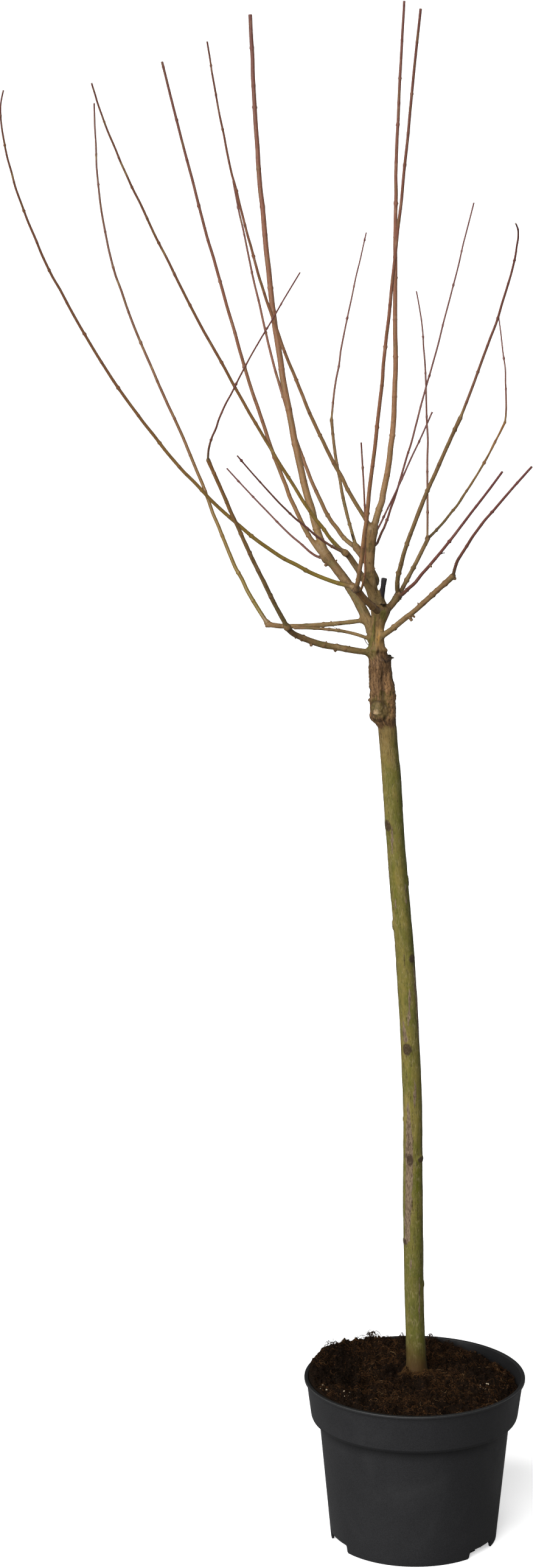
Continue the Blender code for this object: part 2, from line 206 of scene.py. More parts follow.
def makeBarkGroup():  # streaks along the limb, wide mottle, and lenticel specks
    tree, given, result = newGroup(
        "barkGrain",
        [("Place", "Vector"), ("Fineness", "Float")],
        [("Streak", "Float"), ("Mottle", "Float"), ("Speck", "Float"), ("Web", "Float")],
    )
    place, fineness = given.outputs["Place"], given.outputs["Fineness"]
    long = scaledPlace(tree, place, (1.0, 1.0, 0.14))
    plug(tree, result.inputs["Streak"], noiseOf(tree, long, fineness, 5.0, 0.62))
    broad = mathOf(tree, "MULTIPLY", fineness, 0.11)
    half = scaledPlace(tree, place, (1.0, 1.0, 0.5))
    plug(tree, result.inputs["Mottle"], noiseOf(tree, half, broad, 3.0, 0.6))
    dots = addNode(tree, "TexVoronoi", {"Vector": half, "Scale": mathOf(tree, "MULTIPLY", fineness, 0.42)})
    plug(tree, result.inputs["Speck"], spanOf(tree, dots.outputs["Distance"], 0.10, 0.24, 1.0, 0.0))
    lean = scaledPlace(tree, place, (1.0, 1.0, 0.15))
    feeds = {"Vector": lean, "Scale": mathOf(tree, "MULTIPLY", fineness, 1.05)}
    cells = addNode(tree, "TexVoronoi", feeds, feature="DISTANCE_TO_EDGE")
    edge = spanOf(tree, cells.outputs["Distance"], 0.0, 0.16, 1.0, 0.0)
    broken = spanOf(tree, noiseOf(tree, half, mathOf(tree, "MULTIPLY", fineness, 0.3), 3.0), 0.42, 0.60)
    plug(tree, result.inputs["Web"], mathOf(tree, "MULTIPLY", edge, broken))
    return tree


def makeGrainGroup():  # fine pebbled grain, and soft smudges of dust
    tree, given, result = newGroup(
        "mouldGrain",
        [("Place", "Vector"), ("Fineness", "Float")],
        [("Grain", "Float"), ("Smudge", "Float")],
    )
    place, fineness = given.outputs["Place"], given.outputs["Fineness"]
    plug(tree, result.inputs["Grain"], noiseOf(tree, place, fineness, 3.0, 0.7))
    wide = mathOf(tree, "MULTIPLY", fineness, 0.02)
    plug(tree, result.inputs["Smudge"], noiseOf(tree, place, wide, 4.0, 0.6, 0.6))
    return tree


barkGrain, mouldGrain = makeBarkGroup(), makeGrainGroup()


def newMaterial(name, roughness, specular=0.5):
    material = bpy.data.materials.new(name)
    material.use_nodes = True
    tree = material.node_tree
    shader = tree.nodes["Principled BSDF"]
    shader.inputs["Specular IOR Level"].default_value = specular
    shader.inputs["Roughness"].default_value = roughness
    return material, tree, shader


def bumpInto(tree, shader, height, distance, strength=1.0):
    bump = addNode(tree, "Bump", {"Height": height, "Distance": distance, "Strength": strength})
    tree.links.new(bump.outputs["Normal"], shader.inputs["Normal"])


def rampOf(tree, value, stops):
    made = addNode(tree, "ValToRGB", {"Fac": value})
    ramp = made.color_ramp
    while len(ramp.elements) < len(stops):
        ramp.elements.new(0.5)
    for element, (place, colour) in zip(ramp.elements, stops):
        element.position = place
        element.color = (*colour, 1)
    return made.outputs["Color"]


# limbs: the same rule as the solids, on finer rings
easePlain = (2 / 3, 2 / 3)
knuckle = dict(swell=0.18, length=0.007, short=0.45)

# on: the parent; at: the share of the way along it; girth: radius at foot and tip
boughs = {
    "centre_bough": dict(
        on="trunk", at=1.0, knee=(-0.056, 0.002, 1.016), tip=(-0.049, 0.005, 1.077), girth=(0.0052, 0.0050), wood="mossy"
    ),
    "leader_stub": dict(
        on="trunk", at=1.0, knee=(-0.039, 0.000, 1.012), tip=(-0.037, 0.000, 1.028), girth=(0.0030, 0.0024), wood="dead"
    ),
    "left_bough": dict(
        on="trunk", at=0.954, knee=(-0.061, 0.023, 1.009), tip=(-0.094, 0.045, 1.040), girth=(0.0052, 0.0046)
    ),
    "front_bough": dict(
        on="trunk", at=0.997, knee=(-0.045, -0.021, 0.998), tip=(-0.067, -0.042, 1.029), girth=(0.0033, 0.0035),
        wood="warm"
    ),
    "inner_bough": dict(
        on="centre_bough", at=0.10, knee=(-0.070, -0.013, 1.055), tip=(-0.076, -0.022, 1.059), girth=(0.0030, 0.0030)
    ),
    "back_bough": dict(
        on="centre_bough", at=0.45, knee=(-0.034, 0.026, 1.014), tip=(-0.064, 0.050, 1.049), girth=(0.0030, 0.0034)
    ),
    "right_bough": dict(
        on="trunk", at=0.997, knee=(-0.040, 0.005, 0.983), tip=(-0.022, 0.010, 1.009), girth=(0.0038, 0.0030)
    ),
    "low_left_bough": dict(
        on="trunk", at=0.944, knee=(-0.125, -0.022, 0.966), tip=(-0.134, -0.045, 0.989), girth=(0.0034, 0.0027),
        nodes=(0.30, 0.38, 0.52, 0.74)
    ),
    "low_right_bough": dict(
        on="trunk", at=0.964, knee=(-0.037, -0.017, 0.970), tip=(0.031, -0.035, 1.039), girth=(0.0031, 0.0026),
        nodes=(0.61, 0.72, 0.79, 0.88)
    ),
    "level_left_bough": dict(
        on="left_bough", at=0.25, knee=(-0.132, 0.027, 0.969), tip=(-0.153, 0.045, 0.971), girth=(0.0022, 0.0027),
        nodes=(0.25, 0.41, 0.59)
    ),
    "level_left_spur": dict(
        on="trunk", at=0.956, knee=(-0.064, 0.010, 0.975), tip=(-0.127, 0.020, 0.973), girth=(0.0019, 0.0014),
        nodes=(0.46, 0.57, 0.75)
    ),
    "right_outer_bough": dict(
        on="right_bough", at=1.0, knee=(-0.034, -0.030, 1.042), tip=(0.035, -0.070, 1.205), girth=(0.0024, 0.0019),
        nodes=(0.15, 0.21, 0.32, 0.38, 0.93)
    ),
    "right_inner_bough": dict(
        on="right_bough", at=1.0, knee=(0.010, 0.022, 1.067), tip=(0.007, 0.035, 1.061), girth=(0.0021, 0.0019),
        nodes=(0.12, 0.22, 0.29, 0.43)
    ),
    "low_left_riser": dict(
        on="low_left_bough", at=1.0, knee=(-0.166, -0.088, 1.058), tip=(-0.211, -0.130, 1.175),
        girth=(0.0024, 0.0018), wood="warm",
        nodes=(0.20, 0.36, 0.58)
    ),
    "back_riser": dict(
        on="back_bough", at=1.0, knee=(-0.083, 0.070, 1.108), tip=(-0.089, 0.090, 1.172), girth=(0.0018, 0.0015)
    ),
    "right_back_riser": dict(
        on="right_inner_bough", at=1.0, knee=(0.047, 0.103, 1.081), tip=(0.090, 0.170, 1.154), girth=(0.0015, 0.0011),
        wood="warm"
    ),
}

# sway: side bends in x of two and of three half waves; wood: its bark finish; nodes: where along it buds are seen
shoots = {
    "shoot_left_stout": dict(
        on="left_bough", at=1.0, knee=(-0.156, 0.119, 1.200), tip=(-0.171, 0.210, 1.565), girth=(0.0040, 0.0020),
        wood="tan",
        nodes=(0.46, 0.60, 0.72, 0.83)
    ),
    "shoot_left_tall": dict(
        on="left_bough", at=1.0, knee=(-0.143, 0.068, 1.067), tip=(-0.258, 0.090, 1.532), girth=(0.0025, 0.0013),
        wood="tan"
    ),
    "shoot_left_low": dict(
        on="left_bough", at=1.0, knee=(-0.103, 0.088, 1.019), tip=(-0.195, 0.130, 1.114), girth=(0.0015, 0.0008),
        wood="crimson",
        nodes=(0.52, 0.88)
    ),
    "shoot_front_tall": dict(
        on="front_bough", at=1.0, knee=(-0.066, -0.121, 0.998), tip=(-0.011, -0.200, 1.616), girth=(0.0027, 0.0013),
        wood="tan",
        nodes=(0.76, 0.81, 0.87)
    ),
    "shoot_front_left": dict(
        on="front_bough", at=1.0, knee=(-0.521, -0.107, 1.128), tip=(-0.403, -0.150, 1.534), girth=(0.0022, 0.0008),
        ease=(0.38, 0.24), wood="olive",
        nodes=(0.08, 0.12)
    ),
    "shoot_front_short": dict(
        on="front_bough", at=1.0, knee=(-0.050, -0.058, 1.005), tip=(-0.062, -0.075, 1.181), girth=(0.0012, 0.0009),
        wood="tan"
    ),
    "shoot_centre_tall": dict(
        on="centre_bough", at=1.0, knee=(-0.021, 0.038, 1.147), tip=(-0.019, 0.070, 1.594), girth=(0.0036, 0.0013),
        sway=(0.0042, -0.0013), wood="tan",
        nodes=(0.62, 0.81)
    ),
    "shoot_crossing": dict(
        on="centre_bough", at=1.0, knee=(-0.167, -0.048, 1.273), tip=(-0.211, -0.100, 1.574), girth=(0.0022, 0.0009),
        wood="tan"
    ),
    "shoot_centre_back": dict(
        on="centre_bough", at=0.85, knee=(-0.035, 0.127, 1.012), tip=(0.059, 0.250, 1.368), girth=(0.0015, 0.0008),
        wood="crimson"
    ),
    "shoot_centre_short": dict(
        on="centre_bough", at=1.0, knee=(-0.064, 0.052, 1.013), tip=(0.013, 0.100, 1.178), girth=(0.0012, 0.0009),
        wood="crimson"
    ),
    "shoot_back_tall": dict(
        on="back_bough", at=1.0, knee=(-0.122, 0.155, 1.059), tip=(-0.189, 0.260, 1.389), girth=(0.0025, 0.0009),
        wood="tan"
    ),
    "shoot_back_thin": dict(
        on="back_riser", at=1.0, knee=(-0.083, 0.135, 1.230), tip=(-0.053, 0.180, 1.348), girth=(0.0012, 0.0007),
        wood="crimson"
    ),
    "shoot_wide_left": dict(
        on="inner_bough", at=1.0, knee=(-0.232, -0.051, 1.162), tip=(-0.322, -0.080, 1.532), girth=(0.0021, 0.0009),
        ease=(0.26, 0.28), wood="olive",
        nodes=(0.06, 0.38)
    ),
    "shoot_inner_short": dict(
        on="inner_bough", at=1.0, knee=(-0.116, -0.056, 1.082), tip=(-0.183, -0.090, 1.171), girth=(0.0014, 0.0008),
        wood="crimson",
        nodes=(0.77, 0.95)
    ),
    "shoot_outer_left": dict(
        on="level_left_bough", at=1.0, knee=(-0.268, 0.103, 1.123), tip=(-0.328, 0.160, 1.482), girth=(0.0022, 0.0009),
        sway=(0.0095, -0.0049), wood="olive"
    ),
    "shoot_thin_crossing": dict(
        on="low_left_riser", at=1.0, knee=(-0.213, -0.175, 1.216), tip=(-0.123, -0.220, 1.372), girth=(0.0012, 0.0007),
        wood="crimson"
    ),
    "shoot_right_tall": dict(
        on="right_outer_bough", at=1.0, knee=(0.098, -0.105, 1.380), tip=(0.083, -0.140, 1.406), girth=(0.0015, 0.0008),
        wood="crimson"
    ),
    "shoot_right_low": dict(
        on="right_bough", at=1.0, knee=(-0.016, -0.035, 1.013), tip=(0.076, -0.080, 1.153), girth=(0.0021, 0.0012),
        wood="crimson",
        nodes=(0.40, 0.52, 0.77)
    ),
    "shoot_right_upright": dict(
        on="right_inner_bough", at=1.0, knee=(0.009, 0.068, 1.247), tip=(-0.004, 0.100, 1.301), girth=(0.0012, 0.0007),
        wood="crimson"
    ),
    "shoot_right_back": dict(
        on="right_back_riser", at=1.0, knee=(0.096, 0.200, 1.178), tip=(0.085, 0.230, 1.253), girth=(0.0011, 0.0007),
        wood="crimson"
    ),
    "shoot_far_right": dict(
        on="low_right_bough", at=1.0, knee=(0.030, -0.082, 1.075), tip=(0.102, -0.130, 1.168), girth=(0.0018, 0.0012),
        wood="crimson",
        nodes=(0.61,)
    ),
}

trunk = dict(
    sides=96,
    step=0.0010,
    footDepth=0.020,  # how far behind the pot's middle the foot stands
    sunk=0.006,  # how far the foot goes on down into the compost
    stations=(  # height, reach in x, radius
        (0.1765, 0.0025, 0.0114),
        (0.1850, 0.0022, 0.0107),
        (0.2100, 0.0011, 0.0103),
        (0.3230, -0.0019, 0.0103),
        (0.4900, -0.0049, 0.0100),
        (0.6310, -0.0132, 0.0096),
        (0.7420, -0.0226, 0.0094),
        (0.8280, -0.0288, 0.0095),
        (0.8600, -0.0316, 0.0096),
        (0.8700, -0.0325, 0.0098),
        (0.8745, -0.0330, 0.0099),
        (0.8778, -0.0342, 0.0107),
        (0.8815, -0.0361, 0.0125),
        (0.8930, -0.0372, 0.0134),
        (0.9090, -0.0376, 0.0129),
        (0.9280, -0.0396, 0.0118),
        (0.9430, -0.0403, 0.0115),
        (0.9480, -0.0425, 0.0092),
        (0.9560, -0.0434, 0.0072),
        (0.9720, -0.0432, 0.0065),
        (0.9860, -0.0424, 0.0073),
        (0.9970, -0.0409, 0.0082),
    ),
    # knots and bud scars: height, degrees round from the front to the right, half height, half width, rise
    knots=(
        (0.7723, -50, 6.4, 5.0, 1.0), (0.7123, 86, 4.1, 3.6, 1.0), (0.6649, -88, 3.9, 3.1, 1.5), (0.6310, 46, 4.8, 4.3, 1.0),
        (0.5339, -20, 6.9, 5.5, 0.8), (0.4130, 50, 3.4, 4.6, 1.5), (0.4130, -18, 7.5, 3.6, 0.3), (0.3217, -58, 3.7, 4.3, 1.0),
        (0.2729, 88, 2.3, 2.2, 0.9), (0.4551, -82, 2.1, 1.9, 0.8), (0.8140, 150, 4.8, 4.3, 1.0), (0.7010, -160, 5.3, 4.6, 1.0),
        (0.5720, 165, 5.8, 4.8, 1.0), (0.4680, -140, 4.8, 4.3, 1.1), (0.3700, 135, 4.4, 3.8, 1.3), (0.2580, -155, 3.9, 3.6, 1.0),
    ),
    # strips of bright algae: height and half height, degrees from the front to the right, half width, strength
    algae=(
        (0.385, 0.060, 26, 0.24, 0.9), (0.690, 0.035, -30, 0.22, 0.8), (0.590, 0.030, 4, 0.20, 0.7),
        (0.770, 0.060, 48, 0.30, 0.6), (0.500, 0.040, -8, 0.16, 0.5), (0.860, 0.012, 30, 0.40, 0.5),
        (0.560, 0.060, 140, 0.40, 0.6), (0.720, 0.080, -140, 0.35, 0.5),
    ),
    # strips of grey corky bark: height, degrees from the front to the right, half width
    patches=(
        ((0.4777, -28, 0.3), (0.4560, -26, 2.4), (0.4364, -23, 3.9), (0.4064, -24, 4.3), (0.3760, -30, 4.0),
         (0.3450, -38, 3.8), (0.3240, -42, 3.6), (0.3190, -44, 0.3)),
        ((0.5030, 17, 0.2), (0.4860, 15, 1.7), (0.4700, 12, 0.2)),
        ((0.6050, 15, 0.2), (0.5920, 12, 1.8), (0.5790, 7, 0.6), (0.5700, -1, 1.6), (0.5590, -5, 0.2)),
        ((0.5640, -38, 0.3), (0.5549, -35, 2.2), (0.5430, -30, 2.4), (0.5400, -28, 0.2)),
        ((0.6950, -30, 0.1), (0.6860, -35, 1.0), (0.6780, -40, 0.1)),
        ((0.7730, -14, 0.6), (0.7580, -20, 1.6), (0.7430, -27, 0.2)),
        ((0.7500, -72, 0.2), (0.7200, -82, 1.8), (0.6900, -92, 0.2)),
        ((0.8450, -78, 0.2), (0.8000, -82, 1.3), (0.7600, -84, 0.2)),
        ((0.6800, -80, 0.2), (0.6500, -84, 1.5), (0.6100, -84, 1.7), (0.5700, -80, 0.2)),
        ((0.6300, 58, 0.2), (0.6000, 64, 2.2), (0.5650, 70, 2.4), (0.5300, 62, 0.2)),
        ((0.7100, 40, 0.2), (0.6950, 38, 0.9), (0.6800, 36, 0.2)),
        ((0.3060, -19, 0.1), (0.2970, -20, 0.9), (0.2880, -21, 0.1)),
        ((0.2830, 33, 0.1), (0.2580, 30, 0.8), (0.2330, 27, 0.1)),
        ((0.7900, 170, 0.2), (0.7500, 165, 3.4), (0.6900, 160, 4.0), (0.6350, 168, 0.2)),
        ((0.5200, -150, 0.2), (0.4800, -146, 3.2), (0.4300, -150, 2.8), (0.4000, -155, 0.2)),
        ((0.3500, 110, 0.2), (0.3200, 114, 2.6), (0.2700, 120, 0.2)),
        ((0.8500, 80, 0.2), (0.8200, 84, 1.8), (0.7900, 86, 0.3)),
    ),
)


def trunkLine(heights):  # smooth curve through the stations: their slopes blended in each span
    table = np.array(trunk["stations"])
    slopes = np.gradient(table[:, 1:], table[:, 0], axis=0)
    span = np.clip(np.searchsorted(table[:, 0], heights, side="right") - 1, 0, len(table) - 2)
    length = (table[span + 1, 0] - table[span, 0])[:, None]
    t = (heights - table[span, 0])[:, None] / length
    low, high = table[span, 1:], table[span + 1, 1:]
    values = (2 * t**3 - 3 * t**2 + 1) * low + (t**3 - 2 * t**2 + t) * length * slopes[span]
    values += (3 * t**2 - 2 * t**3) * high + (t**3 - t**2) * length * slopes[span + 1]
    depths = trunk["footDepth"] * (1 - (heights - table[0, 0]) / (table[-1, 0] - table[0, 0]))
    return np.stack([values[:, 0], depths, heights], axis=1), values[:, 1]


def limbLine(limb, foot, shares):  # leaves for its knee, and ends coming from it
    knee, tip = np.array(limb["knee"]), np.array(limb["tip"])
    out, home = limb.get("ease", easePlain)
    first, last = foot + out * (knee - foot), tip + home * (knee - tip)
    t = shares[:, None]
    line = (1 - t) ** 3 * foot + 3 * t * (1 - t) ** 2 * first + 3 * t**2 * (1 - t) * last + t**3 * tip
    two, three = limb.get("sway", (0, 0))
    line[:, 0] += two * np.sin(2 * np.pi * shares) + three * np.sin(3 * np.pi * shares)
    return line


def lineLength(line):
    return float(np.linalg.norm(np.diff(line, axis=0), axis=1).sum())


def limbGirth(limb, shares, length, swell):
    foot, tip = limb["girth"]
    return (foot + (tip - foot) * shares) * (1 + swell * np.exp(-(((1 - shares) * length / knuckle["length"]) ** 2)))


def pointOn(parent, share):  # at a share of the trunk's height, or of the way along a limb
    if parent == "trunk":
        low, high = trunk["stations"][0][0], trunk["stations"][-1][0]
        return trunkLine(np.array([low + share * (high - low)]))[0][0]
    return limbLine(limbs[parent], limbs[parent]["foot"], np.array([float(share)]))[0]


lines = {"trunk": trunkLine(np.linspace(0.1765, 0.9970, 160))}  # each limb's middle line and radii
limbs = {**boughs, **shoots}
for limbName, limb in limbs.items():
    limb["foot"] = pointOn(limb["on"], limb["at"])
    wholeWay = np.linspace(0, 1, 60)
    wholeLine = limbLine(limb, limb["foot"], wholeWay)
    limb["length"] = lineLength(wholeLine)
    limb["swell"] = knuckle["swell"] if limbName in boughs and limbName != "leader_stub" else 0.0
    if limb["swell"]:  # its round knuckle starts short of the tip
        wholeWay = wholeWay * (1 - knuckle["short"] * limb["girth"][1] / limb["length"])
        wholeLine = limbLine(limb, limb["foot"], wholeWay)
    lines[limbName] = (wholeLine, limbGirth(limb, wholeWay, limb["length"], limb["swell"]))


def gapTo(points, name):  # distance to another limb's skin, taken as a chain of round-ended cones
    middles, radii = lines[name]
    low, high = points.min(0) - 0.03, points.max(0) + 0.03
    inside = ((middles > low) & (middles < high)).all(axis=1)
    use = np.flatnonzero(inside[:-1] | inside[1:])
    if not len(use):
        return np.full(len(points), 0.03)
    starts, spans = middles[use], middles[use + 1] - middles[use]
    away = points[:, None, :] - starts
    share = np.clip((away * spans).sum(-1) / (spans * spans).sum(-1), 0, 1)
    near = np.linalg.norm(away - share[..., None] * spans, axis=-1)
    return (near - radii[use] - (radii[use + 1] - radii[use]) * share).min(axis=1)


def neighboursOf(name):  # its parent, its children, and the limbs that spring beside it
    limb = limbs.get(name)
    found = [other for other, its in limbs.items() if its["on"] == name]
    if limb:
        found += [limb["on"]]
        found += [
            other for other, its in limbs.items()
            if other != name and its["on"] == limb["on"] and np.linalg.norm(its["foot"] - limb["foot"]) < 0.016
        ]
    return found


joint = dict(blend=1.9, least=0.0018, most=0.0080, within=0.009, reach=0.0034, steps=10)  # how limbs flow into each other


def fusedRise(skin, ways, radii, name):
    # Moves the skin out, along its own directions, to the surface that blends all the limbs that meet here:
    # the smaller of two distances, less a rounding of blend / 4 where they are equal. Deep inside it stays.
    points, headings = skin.reshape(-1, 3), ways.reshape(-1, 3)
    girth = np.repeat(radii, skin.shape[1])
    others = neighboursOf(name)
    gaps = np.array([gapTo(points, other) for other in others]).min(axis=0)
    near = np.flatnonzero(gaps < joint["within"])
    rise = np.zeros(len(points))
    if not len(near):
        return rise.reshape(skin.shape[:2])
    start, heading, own, moved = points[near], headings[near], girth[near], np.zeros(len(near))
    for _ in range(joint["steps"]):
        here = start + moved[:, None] * heading
        total = gapTo(here, name)
        for other in others:
            round_ = np.clip(joint["blend"] * np.minimum(own, lines[other][1].mean()), joint["least"], joint["most"])
            gap = gapTo(here, other)
            lap = np.maximum(round_ - np.abs(total - gap), 0) / round_
            total = np.minimum(total, gap) - lap * lap * round_ / 4
        moved = np.clip(moved - total, 0, joint["reach"])
    rise[near] = moved * ease(-0.0022, -0.0008, gaps[near])
    return rise.reshape(skin.shape[:2])


bark = dict(
    boughStep=0.0006, boughSides=40, shootStep=0.0009, shootSides=20, fissure=0.00011, wrinkle=0.00009, wander=0.00045,
    budSpacing=0.038, budLength=0.0034, budRise=0.00070, budWidth=0.00090, nodeSwell=0.10, nodeLength=0.0012,
)


def nodePlaces(limb, rng):  # the nodes seen in the photo, then others at a natural spacing between them
    seen = np.array(limb.get("nodes", ())) * limb["length"]
    gap = bark["budSpacing"] * rng.uniform(0.85, 1.2)
    others = np.arange(gap * rng.uniform(0.4, 0.9), limb["length"] - 0.010, gap)
    others = others + rng.uniform(-0.14, 0.14, len(others)) * gap
    free = [place for place in others if not len(seen) or np.abs(seen - place).min() > 0.5 * gap]
    return np.sort(np.concatenate([seen, free]))


def budsOn(distances, turns, radii, places, big, rng):  # opposite pairs, each pair a quarter turn round from the last
    rise = np.zeros((len(distances), len(turns)))
    mask = np.zeros_like(rise)
    lean = rng.uniform(0, math.pi)
    for i, place in enumerate(places):
        size = big * rng.uniform(0.75, 1.2)
        way = (distances - place) / (bark["budLength"] * size)
        along = ease(0, 0.22, way) * (1 - ease(0.3, 1.0, way))
        swell = bark["nodeSwell"] * rng.uniform(0.6, 1.3) / big
        rise += (swell * radii * bell(distances, place + 0.0004, bark["nodeLength"] * size))[:, None]
        for half in (0, 1):
            middle = lean + i * math.pi / 2 + half * math.pi + rng.uniform(-0.25, 0.25)
            width = bark["budWidth"] * size / np.maximum(radii, 0.0008)
            slip = 0.12 * half
            along = ease(slip, slip + 0.22, way) * (1 - ease(slip + 0.3, slip + 1.0, way))
            shape = along[:, None] * np.exp(-(np.abs(turnGap(turns, middle) / width[:, None]) ** 1.6))
            rise += bark["budRise"] * size * rng.uniform(0.65, 1.0) * shape
            mask = np.maximum(mask, shape)
    return rise, mask


def roundedEnd(line, radii, heading, around, rows):  # a dome that ends a limb: directions swing from outward to ahead
    swing = np.linspace(0, math.pi / 2, rows + 2)[1:-1]
    ways = np.cos(swing)[:, None, None] * around[-1] + np.sin(swing)[:, None, None] * heading[-1]
    return np.repeat(line[-1:], rows, axis=0), np.repeat(radii[-1:], rows), ways


def dressLimb(name, material):
    limb = limbs[name]
    isShoot, isDead = name in shoots, name == "leader_stub"
    rng = np.random.default_rng(sum(ord(letter) * (i + 3) for i, letter in enumerate(name)))
    step, sides = (bark["shootStep"], bark["shootSides"]) if isShoot else (bark["boughStep"], bark["boughSides"])
    domed = not (isShoot or isDead)
    last = 1 - knuckle["short"] * limb["girth"][1] / limb["length"] if domed else 1.0
    shares = np.linspace(0, last, max(24, round(limb["length"] / step)))
    line = limbLine(limb, limb["foot"], shares)
    radii = limbGirth(limb, shares, limb["length"], limb["swell"])
    free = (ease(0.01, 0.05, shares * limb["length"]) * ease(0.0, 0.03, (1 - shares) * limb["length"]))[:, None]
    track = (shares * limb["length"] * 55)[:, None] + np.array([(0.0, 9.3, 17.7)]) * (1 + rng.uniform(0, 3))
    drift = np.stack([cloudNoise(np.stack([track[:, axis]] * 3, -1) * (1, 0, 0), 61 + axis) for axis in range(3)], -1)
    line = line + bark["wander"] * free * drift * (1.0 if isShoot else 0.6)
    heading, side, other = railFrames(line)
    turns = np.arange(sides) * fullTurn / sides
    ways = np.cos(turns)[None, :, None] * side[:, None, :] + np.sin(turns)[None, :, None] * other[:, None, :]
    distances = np.concatenate([[0], np.cumsum(np.linalg.norm(np.diff(line, axis=0), axis=1))])
    if isDead:
        radii *= 1 + 0.22 * ease(0.72, 1.0, shares)
    else:  # its buried end is rounded, so that it doesn't come through on the far side
        radii *= np.sqrt(1 - (1 - np.clip(distances / (0.9 * radii), 0.15, 1)) ** 2)
    if domed:
        endLine, endRadii, endWays = roundedEnd(line, radii, heading, ways, 7)
    else:  # a clean cut with a slightly worn edge
        endLine, endRadii = np.repeat(line[-1:], 4, axis=0), np.array([0.97, 0.88, 0.6, 0.3]) * radii[-1]
        endLine = endLine + heading[-1] * np.array([0.10, 0.16, 0.17, 0.15])[:, None] * radii[-1]
        endWays = np.repeat(ways[-1:], 4, axis=0)
    body = len(line)
    line, radii = np.concatenate([line, endLine]), np.concatenate([radii, endRadii])
    ways = np.concatenate([ways, endWays])
    distances = np.concatenate([distances, np.full(len(endLine), distances[-1])])
    shares = np.concatenate([shares, np.ones(len(endLine))])
    around = np.stack([np.cos(turns), np.sin(turns), 0 * turns], axis=-1)
    straight = radii[:, None, None] * around + distances[:, None, None] * (0, 0, 1)  # the limb rolled straight
    straight[body:] += (np.arange(1, len(endLine) + 1) * radii[body - 1] * 0.15)[:, None, None] * (0, 0, 1)
    straight += rng.uniform(-1, 1, 3)
    relief = fusedRise(line[:, None, :] + radii[:, None, None] * ways, ways, radii, name)
    fused = np.clip(relief / 0.0006, 0, 1)
    places = [] if isDead else nodePlaces(limb, rng)
    rise, bud = budsOn(distances, turns, radii, places, 1.0 if isShoot else 1.15, rng)
    creaseShade = np.zeros_like(relief)
    if isShoot:
        relief += rise + 0.00004 * roughNoise(straight * (420, 420, 90), 5, 2)
    else:
        grow = np.clip(radii / 0.0045, 0.35, 1.1)[:, None]
        fine = roughNoise(straight * (900, 900, 120), 11, 3)
        rings = roughNoise(straight * (120, 120, 420), 23, 2)
        relief += grow * (bark["fissure"] * fine + bark["wrinkle"] * rings)
        relief += grow * 0.00034 * roughNoise(straight * (130, 130, 90), 31, 2)
        # painted shade in the fissures: the lowest parts of the fine relief are darkened
        creaseShade = ease(-0.25, -0.95, fine + 0.5 * rings)
        relief += rise * ease(0.005, 0.010, distances)[:, None]
        bud = bud * ease(0.005, 0.010, distances)[:, None]
    if not domed:
        relief[body:] *= np.array([0.9, 0.8, 0.5, 0.2])[:, None]
    bud[body:] = 0
    grid = line[:, None, :] + (radii[:, None] + relief)[..., None] * ways
    cut = np.zeros_like(relief)
    cut[body + 1:] = 0.0 if domed else 1.0
    parentGirth = np.interp(limb["at"], np.linspace(0, 1, len(lines[limb["on"]][1])), lines[limb["on"]][1])
    oldFoot = ease(0.014, 0.002, distances - parentGirth)[:, None] if isShoot else 0 * distances[:, None]
    masks = {
        "way": np.repeat(shares[:, None], sides, axis=1), "bud": bud, "cutWood": cut,
        "oldFoot": np.maximum(oldFoot + 0 * relief, 0.5 * fused), "creaseShade": creaseShade, "barkPlace": straight,
    }
    masks = {mask: closedValues(values) for mask, values in masks.items()}
    addPiece(name + "_bark", closedRings(grid), tubeFaces(len(grid), sides), material, [name], masks)


